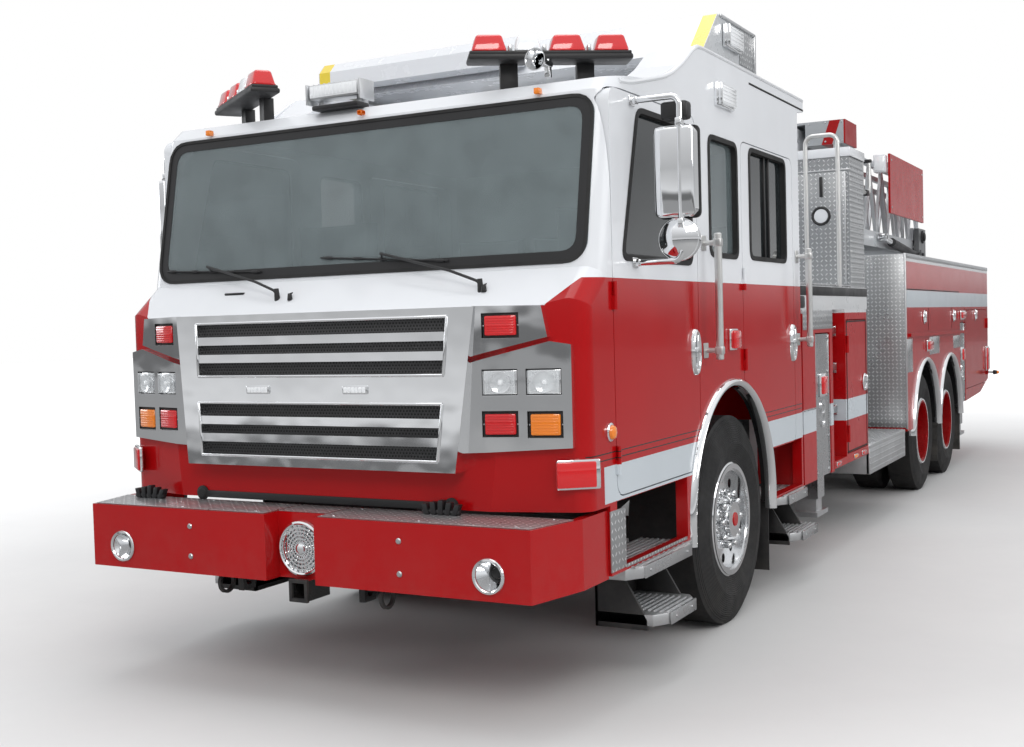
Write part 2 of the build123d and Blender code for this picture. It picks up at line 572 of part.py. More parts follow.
def make_doors():
    """The front and crew doors, each mirrored for the other side."""
    for door in DOORS:
        region = door_region(door, 0)
        with BuildPart() as panel:
            add(region)
            if door[0] == "front":
                front_window(BODY_HALF - CAB_WALL - 1, BODY_HALF + 1, Mode.SUBTRACT)
            else:
                rounded_side(*CREW_WINDOW, WINDOW_CORNER, BODY_HALF - CAB_WALL - 1, BODY_HALF + 1,
                             Mode.SUBTRACT)
            door_hinges(door[1] - JOINT_GAP / 2, DOOR_HINGES[door[0]], 1)
        save_pair(panel, f"{door[0]}_door")


# ------------------------------------------------------------------ cab interior
SEAT_PAN = (480.0, 460.0, 110.0)     # a seat's cushion: width, depth, thickness
SEAT_BACK = (100.0, 700.0)           # thickness, height
# seats: x of the middle, station of the pan's front, station of the base's rear
SEAT_INBOARD = (437.0, 357.0)        # outer seats' distance from the side, front row and rear row
SEAT_ROW = (BODY_HALF - SEAT_INBOARD[0], BODY_HALF - SEAT_INBOARD[1])
SEATS = ((SEAT_ROW[0], -1130.0, -815.0), (-SEAT_ROW[0], -1130.0, -815.0), (SEAT_ROW[1], 780.0, 1240.0),
         (300.0, 780.0, 1240.0), (-300.0, 780.0, 1240.0), (-SEAT_ROW[1], 780.0, 1240.0))
SEAT_BASE_HEIGHT = 330.0
SEAT_BASE_INSET = 70.0
DASH_AFT = (-1850.0, -1560.0)
DASH_Z = (1330.0, 1800.0)
STEERING_X = SEAT_ROW[0]
STEERING_RADIUS = 225.0
STEERING_RIM = 16.0
STEERING_CENTRE = (-1330.0, 1790.0)  # station, z
COLUMN_RADIUS = 30.0


def make_interior():
    """Seats, dashboard and steering wheel."""
    with BuildPart() as interior:
        width, depth, thick = SEAT_PAN
        base_top = CAB_FLOOR[1] + SEAT_BASE_HEIGHT
        for x, station, base_rear in SEATS:
            y = aft(station)
            block((x - width / 2 + SEAT_BASE_INSET, x + width / 2 - SEAT_BASE_INSET),
                  (y + SEAT_BASE_INSET, aft(base_rear)), (CAB_FLOOR[1], base_top))
            block((x - width / 2, x + width / 2), (y, y + depth), (base_top, base_top + thick))
            side_plate([(y + depth - SEAT_BACK[0], base_top + thick), (y + depth, base_top + thick),
                        (y + depth, base_top + thick + SEAT_BACK[1]),
                        (y + depth - SEAT_BACK[0] / 2, base_top + thick + SEAT_BACK[1])],
                       x - width / 2, x + width / 2)
        inner = BODY_HALF - CAB_WALL - CORNER_RADIUS
        side_plate([(aft(DASH_AFT[0]), DASH_Z[0]), (aft(DASH_AFT[1]), DASH_Z[0]),
                    (aft(DASH_AFT[1]), DASH_Z[1] - 120), (aft(DASH_AFT[1]) - 60, DASH_Z[1]),
                    (aft(COWL[1][0]) + CAB_WALL, DASH_Z[1]),
                    (aft(DASH_AFT[0]), DASH_Z[1] - 200)], -inner, inner)
        centre = (STEERING_X, aft(STEERING_CENTRE[0]), STEERING_CENTRE[1])
        foot = (STEERING_X, aft(DASH_AFT[1]) - 20, DASH_Z[1] - 230)
        lean = Vector(*centre) - Vector(*foot)
        rod(foot, centre, COLUMN_RADIUS)
        with BuildSketch(Plane(origin=centre, z_dir=lean)) as wheel:
            Circle(STEERING_RADIUS)
            Circle(STEERING_RADIUS - 2 * STEERING_RIM, mode=Mode.SUBTRACT)
            Rectangle(2 * (STEERING_RADIUS - STEERING_RIM), 2 * STEERING_RIM)
        extrude(wheel.sketch, amount=STEERING_RIM)
        block((-inner, inner), (aft(DASH_AFT[0]), aft(DASH_AFT[0]) + 40), (CAB_FLOOR[1], DASH_Z[0]))
    save(interior, "cab_interior")


# ------------------------------------------------------------------ bumper
BUMPER_Z = (565.0, 856.0)
BUMPER_SWEEP = 85.0
BUMPER_INSET = 12.0
BUMPER_HALF = BODY_HALF - BUMPER_SWEEP       # half the flat front face
BUMPER_SIDE = BODY_HALF - BUMPER_INSET
BUMPER_CORNER_AFT = -1933.0  # where the swept corner meets the side
BUMPER_END_AFT = -1688.0
BUMPER_PLATE = 40.0
BUMPER_DECK = 20.0
BUMPER_DECK_AFT = -1970.0    # rear edge of the treadplate deck
SIREN_RECESS = (133.0, 95.0) # half width and depth of the recess in the middle
SIREN_RADIUS = 128.0
SIREN_Z = 700.0
SIREN_PROUD = 22.0
HORN_INBOARD = 189.0
HORN_X = BUMPER_HALF - HORN_INBOARD
HORN_Z = 665.0
HORN_RADIUS = 66.0
HORN_THROAT = 22.0
HORN_DEPTH = 90.0
TOW_EYE_X = 330.0
RECEIVER_HALF = 45.0


def make_bumper():
    with BuildPart() as bumper:
        outer = [(-BUMPER_SIDE, aft(BUMPER_END_AFT)), (-BUMPER_SIDE, aft(BUMPER_CORNER_AFT)),
                 (-BUMPER_HALF, aft(BUMPER_AFT)), (BUMPER_HALF, aft(BUMPER_AFT)),
                 (BUMPER_SIDE, aft(BUMPER_CORNER_AFT)), (BUMPER_SIDE, aft(BUMPER_END_AFT))]
        plan_plate(outer, *BUMPER_Z)
        wall = BUMPER_PLATE
        plan_plate([(-BUMPER_SIDE + wall, aft(BUMPER_END_AFT) + 1),
                    (-BUMPER_SIDE + wall, aft(BUMPER_CORNER_AFT)),
                    (-BUMPER_HALF + wall, aft(BUMPER_AFT) + wall),
                    (BUMPER_HALF - wall, aft(BUMPER_AFT) + wall),
                    (BUMPER_SIDE - wall, aft(BUMPER_CORNER_AFT)),
                    (BUMPER_SIDE - wall, aft(BUMPER_END_AFT) + 1)],
                   BUMPER_Z[0] - 1, BUMPER_Z[1] - BUMPER_DECK, Mode.SUBTRACT)
        block((-BUMPER_SIDE + wall, BUMPER_SIDE - wall),
              (aft(BUMPER_DECK_AFT), aft(BUMPER_END_AFT) + 1),
              (BUMPER_Z[1] - BUMPER_DECK - 1, BUMPER_Z[1] + 1), Mode.SUBTRACT)
        recess, depth = SIREN_RECESS
        y = aft(BUMPER_AFT)
        block((-recess - wall, recess + wall), (y + wall, y + depth + wall), BUMPER_Z)
        block((-recess, recess), (y - 1, y + depth), (BUMPER_Z[0] - 1, BUMPER_Z[1] + 1), Mode.SUBTRACT)
        for side in (-1, 1):
            rod((side * HORN_X, y - 1, HORN_Z), (side * HORN_X, y + wall + 1, HORN_Z),
                HORN_RADIUS - 8, Mode.SUBTRACT)
            x = sorted((side * (RAIL_HALF - RAIL_FLANGE), side * RAIL_HALF))
            block(x, (y + wall, aft(RAIL_FRONT_AFT)), (RAIL_BOTTOM + 10, BUMPER_Z[1] - BUMPER_DECK))
            eye = side * TOW_EYE_X
            side_plate([(y + 60, BUMPER_Z[0] - 70), (y + 140, BUMPER_Z[0] - 70),
                        (y + 220, RAIL_BOTTOM + 20), (y + 60, RAIL_BOTTOM + 20)], eye - 15, eye + 15)
            rod((eye - 16, y + 100, BUMPER_Z[0] - 30), (eye + 16, y + 100, BUMPER_Z[0] - 30), 20,
                Mode.SUBTRACT)
        brace = TOW_EYE_X + 20
        block((-brace, brace), (y + depth + wall, y + depth + wall + 80),
              (RAIL_BOTTOM + 10, RAIL_BOTTOM + 90))
        block((-RECEIVER_HALF, RECEIVER_HALF), (y + 60, y + depth + wall + 80),
              (BUMPER_Z[0] - 2 * RECEIVER_HALF, BUMPER_Z[0]))
        block((-RECEIVER_HALF, RECEIVER_HALF), (y + depth + wall, y + depth + wall + 80),
              (BUMPER_Z[0] - 1, RAIL_BOTTOM + 20))
        block((-RECEIVER_HALF + 12, RECEIVER_HALF - 12), (y + 59, y + depth + wall),
              (BUMPER_Z[0] - 2 * RECEIVER_HALF + 12, BUMPER_Z[0] - 12), Mode.SUBTRACT)
    save(bumper, "front_bumper")
    with BuildPart() as siren:
        rod((0, y + depth, SIREN_Z), (0, y - SIREN_PROUD, SIREN_Z), SIREN_RADIUS)
        rod((0, y - SIREN_PROUD - 1, SIREN_Z), (0, y - SIREN_PROUD + 14, SIREN_Z),
            SIREN_RADIUS - 14, Mode.SUBTRACT)
        for side in (-1, 1):
            x = side * HORN_X
            with BuildSketch(Plane.XY.offset(HORN_Z)) as bell:
                with BuildLine():
                    Polyline([(x, y + HORN_DEPTH), (x, y + HORN_DEPTH - 10), (x + HORN_THROAT - 8, y + 60),
                              (x + HORN_RADIUS - 14, y - 2), (x + HORN_RADIUS, y - 8),
                              (x + HORN_RADIUS, y), (x + HORN_RADIUS - 10, y),
                              (x + HORN_THROAT, y + 66), (x + HORN_THROAT, y + HORN_DEPTH)],
                             close=True)
                make_face()
            revolve(bell.sketch, axis=Axis((x, y, HORN_Z), (0, 1, 0)))
    save(siren, "bumper_siren")


# ------------------------------------------------------------------ grille and lamp bezels
GRILLE_TOP = (816.0, -2022.0, 1728.0)        # half width, station, z of the surround's top edge
GRILLE_FOOT = (731.0, -2065.0, 1040.0)
# openings: half width at the top, half width at the bottom, top z, bottom z
GRILLE_OPENINGS = ((689.0, 672.0, 1690.0, 1446.0), (668.0, 645.0, 1325.0, 1085.0))
GRILLE_BAR = 38.0
GRILLE_BACK = 12.0                           # plate left behind the openings
LAMP_PROUD = 30.0                            # bezels stand this far off the front
LAMP_RECESS = 14.0
# bezels: outlines of (distance in from the side, z) on the driver's side
BEZELS = (((454.0, 1730.0), (166.0, 1725.0), (143.0, 1596.0), (477.0, 1519.0)),
          ((477.0, 1494.0), (135.0, 1578.0), (49.0, 1563.0), (51.0, 1142.0), (517.0, 1119.0)))
# lamp recesses: inner and outer distance in from the side, bottom z, top z
LAMPS = ((411.0, 257.0, 1594.0, 1700.0), (415.0, 268.0, 1358.0, 1468.0),
         (234.0, 90.0, 1358.0, 1468.0), (419.0, 268.0, 1186.0, 1296.0),
         (232.0, 87.0, 1182.0, 1294.0))


def swept_slab(near, far):
    """The layer between two offsets ahead of the swept front corners, on the driver's side."""
    sweep_x, sweep_depth = CORNER_SWEEP
    front = aft(CAB_FRONT_AFT)
    slope = sweep_depth / (BODY_HALF - sweep_x)
    points = []
    for offset, order in ((near, 1), (far, -1)):
        row = [(GRILLE_FOOT[0] / 2, front - offset), (sweep_x, front - offset),
               (BODY_HALF + 40, front - offset + slope * (BODY_HALF + 40 - sweep_x))]
        points += row[::order]
    plan_plate(points, CAB_SKIRT_Z, ROOF_FRONT[1])


BEZEL_REACH = (200.0, 300.0)         # how far a bezel's outline is cut ahead of and behind the front


def bezel(outline, near, far):
    """A solid on the swept corner with the given front outline."""
    with BuildPart() as piece:
        swept_slab(near, far)
        face = aft(CAB_FRONT_AFT)
        corners = [(BODY_HALF - inboard, z) for inboard, z in outline]
        front_plate(corners, face - BEZEL_REACH[0], face + BEZEL_REACH[1], Mode.INTERSECT)
    return piece.part


def grille_opening(top, bottom, high, low):
    """One opening of the grille, its bars left standing."""
    step = (high - low) / 3
    with BuildPart() as opening:
        front_plate([(-bottom, low), (-top, high), (top, high), (bottom, low)],
                    aft(GRILLE_FOOT[1]) - 1, aft(CAB_FRONT_AFT) - GRILLE_BACK)
        for z in (low + step, high - step):
            block((-top, top), (aft(GRILLE_FOOT[1]) - 2, aft(CAB_FRONT_AFT)),
                  (z - GRILLE_BAR / 2, z + GRILLE_BAR / 2), Mode.SUBTRACT)
    return opening.part


def make_front(body):
    """The grille surround and its bars, and the lamp bezels, fitted to the cab's front."""
    openings = [grille_opening(*opening) for opening in GRILLE_OPENINGS]
    with BuildPart() as grille:
        top_half, top_station, top_z = GRILLE_TOP
        foot_half, foot_station, foot_z = GRILLE_FOOT
        side_plate([(aft(foot_station), foot_z), (aft(top_station), top_z),
                    (aft(COWL[1][0]), top_z), (aft(COWL[1][0]), foot_z)], -top_half, top_half)
        front_plate([(-foot_half, foot_z), (-top_half, top_z), (top_half, top_z),
                     (foot_half, foot_z)], aft(foot_station) - 1, aft(COWL[1][0]) + 1, Mode.INTERSECT)
        for opening in openings:
            add(opening, mode=Mode.SUBTRACT)
        add(body, mode=Mode.SUBTRACT)
    save(grille, "grille")
    plates = [bezel(outline, -150, LAMP_PROUD) for outline in BEZELS]
    pockets = [bezel([(x0, z0), (x0, z1), (x1, z1), (x1, z0)], LAMP_PROUD - LAMP_RECESS, LAMP_PROUD + 5)
               for x0, x1, z0, z1 in LAMPS]
    with BuildPart() as lamps:
        for plate in plates:
            add(plate)
        for pocket in pockets:
            add(pocket, mode=Mode.SUBTRACT)
        add(body, mode=Mode.SUBTRACT)
        add(grille.part, mode=Mode.SUBTRACT)
        mirror(about=Plane.YZ)
    save(lamps, "lamp_bezels")


# ------------------------------------------------------------------ steps, rails, mirrors, roof lights
STEP_PLATE = 40.0
STEP_INNER = BODY_HALF - 257.0
STEP_SIDE = 16.0
STEP_TOPS = (CAB_SKIRT_Z, 330.0)             # the upper step's top and the lower's
# steps: upper's front and rear stations, lower's front and rear stations, corner's chamfer
STEPS = ((-1600.0, -721.0, -1590.0, -700.0, 230.0), (698.0, 1355.0, 761.0, 1604.0, 40.0))
FLAP_AFT = (690.0, 698.0)
FLAP_X = (BODY_HALF - 227.0, BODY_HALF - 47.0)
FLAP_Z = (212.0, 560.0)
RAIL_RADIUS = 16.0
RAIL_BEND = 60.0
CAB_RAIL_RADIUS = 19.0
RAIL_X = BODY_HALF + 78.0
RAIL_STAND = 40.0            # each stand-off's distance from the rail's end
RAIL_STAND_RADIUS = 13.0
# cab grab rails: station, foot z, head z
GRAB_RAILS = ((-470.0, 1450.0, 2070.0), (1225.0, 1465.0, 2060.0))
DECK_RAIL_X = (995.0, 1225.0)
DECK_RAIL_AFT = 2450.0
DECK_RAIL_TOP = 2945.0
MIRROR_AFT = -1360.0
MIRROR_TUBE_X = BODY_HALF + 223.0
MIRROR_ARMS = (1905.0, 2613.0)
MIRROR_TUBE = 14.0
MIRROR_HEAD = ((MIRROR_TUBE_X - 122.0, MIRROR_TUBE_X + 63.0), (2094.0, 2488.0))   # x and z limits
MIRROR_DEPTH = 62.0
SPOT_MIRROR_RADIUS = 92.0
SPOT_MIRROR = (MIRROR_TUBE_X - 18.0, 1998.0)                       # x and z of the round mirror
TOP_MIRROR = ((MIRROR_TUBE_X - 85.0, MIRROR_TUBE_X + 25.0), (2520.0, 2586.0))
LIGHT_BAR = ((575.0, -1600.0), (BODY_HALF - 72.0, -1180.0))    # inner and outer ends, (x, station)
LIGHT_BAR_DEPTH = 150.0
LIGHT_BAR_Z = (2820.0, 2862.0, 2940.0)               # base, base's top, lens's top
LIGHT_BAR_FEET = (0.25, 0.72)                        # share of the bar's length
FLOOD_X = (-350.0, -55.0)
FLOOD_AFT = (-1560.0, -1440.0)
FLOOD_Z = (2755.0, 2835.0)


def step_plate(front, rear, chamfer, top):
    """A step with its outer front corner cut off."""
    plan_plate([(STEP_INNER, aft(front)), (BODY_HALF - chamfer * 0.65, aft(front)),
                (BODY_HALF, aft(front) + chamfer), (BODY_HALF, aft(rear)), (STEP_INNER, aft(rear))],
               top - STEP_PLATE, top)


def make_steps():
    """The cab's steps, their hangers and mud flaps, and the pump's running steps."""
    with BuildPart() as steps:
        upper, lower = STEP_TOPS
        for front, rear, low_front, low_rear, chamfer in STEPS:
            step_plate(front, rear, chamfer, upper)
            step_plate(low_front, low_rear, chamfer, lower)
            hangers = (max(front, low_front), min(rear, low_rear) - STEP_SIDE)
            for station, reach in zip(hangers, (BODY_HALF - chamfer * 0.65, BODY_HALF - 5)):
                block((STEP_INNER, reach), (aft(station), aft(station) + STEP_SIDE),
                      (lower - 1, upper - STEP_PLATE + 1))
            block((STEP_INNER, STEP_INNER + STEP_SIDE),
                  (aft(max(front, low_front)), aft(min(rear, CAB_REAR_AFT))), (lower - 1, CAB_FLOOR[0]))
        block(FLAP_X, (aft(FLAP_AFT[0]), aft(FLAP_AFT[1])), FLAP_Z)
        front, rear = aft(RUNNING_STEP_AFT[0]), aft(RUNNING_STEP_AFT[1])
        low, high = RUNNING_STEP_Z
        wall = RUNNING_STEP_WALL
        block((RUNNING_STEP_INNER, BODY_HALF), (front, rear), RUNNING_STEP_Z)
        block((RUNNING_STEP_INNER - 1, BODY_HALF - wall), (front + wall, rear - wall),
              (low - 1, high - wall), Mode.SUBTRACT)
        for y in (front + 100, rear - 100):
            block((RAIL_HALF, RUNNING_STEP_INNER + 1), (y - 40, y + 40), STEP_BRACKET_Z)
            block((RUNNING_STEP_INNER, MODULE_HALF - 5), (y - 40, y + 40), (high - wall, STEP_BRACKET_Z[1]))
        mirror(about=Plane.YZ)
    save(steps, "steps")


def make_rails():
    with BuildPart() as rails:
        for station, foot, head in GRAB_RAILS:
            y = aft(station)
            rod((RAIL_X, y, foot), (RAIL_X, y, head), CAB_RAIL_RADIUS)
            for z in (foot + RAIL_STAND, head - RAIL_STAND):
                rod((BODY_HALF, y, z), (RAIL_X, y, z), RAIL_STAND_RADIUS)
        y = aft(DECK_RAIL_AFT)
        rail([(DECK_RAIL_X[0], y, DECK_TOP), (DECK_RAIL_X[0], y, DECK_RAIL_TOP - RAIL_RADIUS),
              (DECK_RAIL_X[1], y, DECK_RAIL_TOP - RAIL_RADIUS), (DECK_RAIL_X[1], y, DECK_TOP)],
             RAIL_RADIUS, RAIL_BEND)
        mirror(about=Plane.YZ)
    save(rails, "grab_rails")


def make_mirrors():
    """The front doors' mirrors, on arms standing straight out."""
    with BuildPart() as mirrors:
        y = aft(MIRROR_AFT)
        low, high = MIRROR_ARMS
        rail([(BODY_HALF, y, low), (MIRROR_TUBE_X, y, low), (MIRROR_TUBE_X, y, high),
              (BODY_HALF, y, high)], MIRROR_TUBE, 40)
        (x0, x1), (z0, z1) = MIRROR_HEAD
        with BuildSketch(Plane.XZ.offset(-(y + MIRROR_TUBE / 2 + MIRROR_DEPTH))) as head:
            with Locations(((x0 + x1) / 2, (z0 + z1) / 2)):
                RectangleRounded(x1 - x0, z1 - z0, 35)
        extrude(head.sketch, amount=MIRROR_DEPTH)
        (x0, x1), (z0, z1) = TOP_MIRROR
        with BuildSketch(Plane.XZ.offset(-(y + MIRROR_TUBE / 2 + MIRROR_DEPTH))) as cap:
            with Locations(((x0 + x1) / 2, (z0 + z1) / 2)):
                RectangleRounded(x1 - x0, z1 - z0, 25)
        extrude(cap.sketch, amount=MIRROR_DEPTH)
        x, z = SPOT_MIRROR
        rod((x, y + MIRROR_TUBE / 2, z), (x, y + MIRROR_TUBE / 2 + 30, z), SPOT_MIRROR_RADIUS)
    save_pair(mirrors, "mirror")


def make_roof_lights(body):
    """Two swept light bars on feet and the flood lamp over the windscreen."""
    with BuildPart() as lights:
        (x0, s0), (x1, s1) = LIGHT_BAR
        length = hypot(x1 - x0, s1 - s0)
        ux, uy = (x1 - x0) / length, (s1 - s0) / length
        half = LIGHT_BAR_DEPTH / 2
        foot, mid, top = LIGHT_BAR_Z
        outline = [(x0 - uy * half, aft(s0) + ux * half), (x1 - uy * half, aft(s1) + ux * half),
                   (x1 + uy * half, aft(s1) - ux * half), (x0 + uy * half, aft(s0) - ux * half)]
        plan_plate(outline, foot, mid)
        inner = [(x0 + ux * 12 - uy * (half - 12), aft(s0) + uy * 12 + ux * (half - 12)),
                 (x1 - ux * 12 - uy * (half - 12), aft(s1) - uy * 12 + ux * (half - 12)),
                 (x1 - ux * 12 + uy * (half - 12), aft(s1) - uy * 12 - ux * (half - 12)),
                 (x0 + ux * 12 + uy * (half - 12), aft(s0) + uy * 12 - ux * (half - 12))]
        plan_plate(inner, mid - 1, top)
        for share in LIGHT_BAR_FEET:
            x, y = x0 + (x1 - x0) * share, aft(s0 + (s1 - s0) * share + 60)
            block((x - 40, x + 40), (y - 20, y + 30), (roof_z(y - 20), foot + 1))
        mirror(about=Plane.YZ)
        block(FLOOD_X, (aft(FLOOD_AFT[0]), aft(FLOOD_AFT[1])), FLOOD_Z)
        for x in (FLOOD_X[0] + 20, FLOOD_X[1] - 20):
            y = aft(FLOOD_AFT[1])
            block((x - 15, x + 15), (y - 45, y), (roof_z(y - 45), FLOOD_Z[0] + 1))
        add(body, mode=Mode.SUBTRACT)
    save(lights, "roof_lights")


def roof_z(y):
    """A little under the roof's height at y, ahead of where its middle levels out."""
    share = (y - aft(ROOF_FRONT[0])) / (aft(ROOF_RECESS[0]) - aft(ROOF_FRONT[0]))
    return ROOF_FRONT[1] + (ROOF_RECESS[1] - ROOF_FRONT[1]) * min(max(share, 0.0), 1.0) - 10


# ------------------------------------------------------------------ pump module and lockers
MODULE_HALF = 690.0
MODULE_AFT = (1330.0, 4640.0)
MODULE_Z = (RAIL_TOP, 1690.0)
DECK_TOP = 1850.0
DECK_AFT = (1330.0, 3400.0)
DECK_INSET = 57.0            # deck and lockers, inside the body sides
DECK_HALF = BODY_HALF - DECK_INSET
POST_X = (BODY_HALF - 357.0, BODY_HALF)
POST_AFT = (1330.0, 2085.0)
POST_Z = (CAB_SKIRT_Z, 1690.0)
BAY_X = BODY_HALF - 212.0               # inner wall of the outrigger bay
BAY_TOP = 1535.0
FRONT_BAY_AFT = (1632.0, 2015.0)
STEP_BACK_X = BODY_HALF - 307.0          # wall behind the folding steps
STEP_BACK_AFT = (2085.0, 2446.0)
PUMP_POCKET_AFT = (2446.0, 3120.0)
PUMP_DOOR_Z = (660.0, 1610.0)
POCKET_WALL = 30.0
PANEL_X = 750.0              # pump panel, set in from the side
RUNNING_STEP_AFT = (3167.0, 4518.0)
RUNNING_STEP_Z = (423.0, 650.0)
RUNNING_STEP_WALL = 30.0
RUNNING_STEP_INNER = 640.0
STEP_BRACKET_Z = (RAIL_BOTTOM, RAIL_BOTTOM + 120.0)
PANEL_FOOT_Z = 710.0
POST_WEB_Z = 1200.0          # the posts are joined to the centre above this
PUMP_DOOR = 40.0
PUMP_DOOR_AFT = (2476.0, 3090.0)
PUMP_DOOR_HINGES = (800.0, 1440.0)
RUB_RAIL_AFT = (2102.0, 3140.0)
RUB_RAIL_Z = (589.0, 640.0)
FOLD_STEPS_Z = (1000.0, 1300.0, 1560.0)
FOLD_STEP = (70.0, 40.0)     # tread and thickness
VALVES = ((3290.0, 1370.0), (3290.0, 1150.0), (3560.0, 1260.0), (3850.0, 1150.0), (3850.0, 1370.0),
          (4150.0, 1260.0))  # station and z
VALVE_RADIUS = 62.0
VALVE_LENGTH = 120.0
LOCKER_X = (645.0, DECK_HALF)
LOCKER_AFT = (2890.0, 3340.0)
LOCKER_TOP = 2880.0
LOCKER_CAP = 55.0


def side_block(side, x, stations, z, mode=Mode.ADD):
    """A box on one side: x limits measured outwards, and stations for its ends."""
    block(sorted((side * x[0], side * x[1])), (aft(stations[0]), aft(stations[1])), z, mode)


def make_pump_module():
    with BuildPart() as module:
        block((-MODULE_HALF, MODULE_HALF), (aft(MODULE_AFT[0]), aft(MODULE_AFT[1])), MODULE_Z)
        block((-DECK_HALF, DECK_HALF), (aft(DECK_AFT[0]), aft(DECK_AFT[1])), (MODULE_Z[1] - 1, DECK_TOP))
        inner = MODULE_HALF - 1
        outer = BODY_HALF + 1
        for side in (-1, 1):
            side_block(side, POST_X, POST_AFT, POST_Z)
            side_block(side, (inner, POST_X[0] + 1), POST_AFT, (POST_WEB_Z, POST_Z[1]))
            side_block(side, (BAY_X, outer), FRONT_BAY_AFT, (POST_Z[0] - 1, BAY_TOP), Mode.SUBTRACT)
            side_block(side, (POST_X[0] - 1, outer), FRONT_BAY_AFT, (POST_Z[0] - 1, OUTRIGGER_CUT_Z),
                       Mode.SUBTRACT)
            side_block(side, (inner, STEP_BACK_X), STEP_BACK_AFT, (RUB_RAIL_Z[0], MODULE_Z[1]))
            side_block(side, (inner, BODY_HALF), PUMP_POCKET_AFT,
                       (RUB_RAIL_Z[1] - POCKET_WALL, MODULE_Z[1]))
            side_block(side, (MODULE_HALF + POCKET_WALL, outer),
                       (PUMP_DOOR_AFT[0] - JOINT_GAP, PUMP_DOOR_AFT[1] + JOINT_GAP),
                       (PUMP_DOOR_Z[0] - JOINT_GAP, PUMP_DOOR_Z[1] + JOINT_GAP), Mode.SUBTRACT)
            side_block(side, (POST_X[0], BODY_HALF), RUB_RAIL_AFT, RUB_RAIL_Z)
            for z in FOLD_STEPS_Z:
                side_block(side, (STEP_BACK_X - 1, STEP_BACK_X + FOLD_STEP[0]),
                           (STEP_BACK_AFT[0] + 60, STEP_BACK_AFT[1] - 60), (z, z + FOLD_STEP[1]))
            side_block(side, (inner, PANEL_X), (PUMP_POCKET_AFT[1] - 1, MODULE_AFT[1]),
                       (PANEL_FOOT_Z, MODULE_Z[1]))
            for station, z in VALVES:
                y = aft(station)
                rod((side * (PANEL_X - 1), y, z), (side * (PANEL_X + VALVE_LENGTH), y, z), VALVE_RADIUS)
        fixed_hinges(PUMP_DOOR_AFT[0] - JOINT_GAP / 2, PUMP_DOOR_HINGES, 1)
    save(module, "pump_module")
    with BuildPart() as lockers:
        block(LOCKER_X, (aft(LOCKER_AFT[0]), aft(LOCKER_AFT[1])), (DECK_TOP, LOCKER_TOP - LOCKER_CAP))
        block((LOCKER_X[0] - 8, LOCKER_X[1] + 8), (aft(LOCKER_AFT[0]) - 8, aft(LOCKER_AFT[1]) + 8),
              (LOCKER_TOP - LOCKER_CAP - 1, LOCKER_TOP))
        mirror(about=Plane.YZ)
    save(lockers, "deck_lockers")


def make_pump_doors():
    with BuildPart() as door:
        rounded_side(*PUMP_DOOR_AFT, *PUMP_DOOR_Z, 30, BODY_HALF - PUMP_DOOR + JOINT_GAP, BODY_HALF)
        door_hinges(PUMP_DOOR_AFT[0] - JOINT_GAP / 2, PUMP_DOOR_HINGES, 1)
    save_pair(door, "pump_door")


# ------------------------------------------------------------------ outriggers
OUTRIGGER_CUT_Z = 665.0      # bodies are cut away up to here over the beams
BOX_Z = (400.0, 650.0)
BEAM_Z = (430.0, 620.0)
BEAM_TAIL_X = -800.0
BOX_HALF = 870.0
JACK_X = (BODY_HALF - 197.0, BODY_HALF - 27.0)
JACK_WALL = 15.0
JACK_TOP = 1500.0
BEAM_GAP = 5.0               # beside and over each beam in its box
LEG_TOP = 1250.0
FOOT_X = (BODY_HALF - 207.0, BODY_HALF - 17.0)
FOOT_Z = (315.0, 345.0)
FOOT_HALF = 140.0
COVER = 18.0
# outriggers: name, driver's-side beam's stations, other beam's, box's stations, cover's stations, cover z
OUTRIGGERS = (("front", (1835.0, 1975.0), (1665.0, 1805.0), (1632.0, 2008.0), (1640.0, 2007.0),
               (577.0, 1527.0)),
              ("rear", (7725.0, 7865.0), (7555.0, 7695.0), (7522.0, 7898.0), (7548.0, 7872.0),
               (668.0, 1527.0)))


def outrigger_boxes():
    """The beams' boxes, hung under the frame rails."""
    for _, first, second, box, _, _ in OUTRIGGERS:
        block((-BOX_HALF, BOX_HALF), (aft(box[0]), aft(box[1])), BOX_Z)
        for beam in (first, second):
            block((-BOX_HALF - 1, BOX_HALF + 1), (aft(beam[0]) - BEAM_GAP, aft(beam[1]) + BEAM_GAP),
                  (BEAM_Z[0] - SEAT_GAP, BEAM_Z[1] + BEAM_GAP), Mode.SUBTRACT)
        for side in (-1, 1):
            x = sorted((side * (RAIL_HALF - RAIL_FLANGE), side * RAIL_HALF))
            block(x, (aft(box[0]) + 20, aft(box[1]) - 20), (BOX_Z[1] - 1, RAIL_BOTTOM + 1))


def make_outriggers():
    for name, right, left, _, cover, cover_z in OUTRIGGERS:
        for side, label, beam in ((1, "left", right), (-1, "right", left)):
            make_outrigger(name, side, label, beam, (right[0] + left[1]) / 2, cover, cover_z)


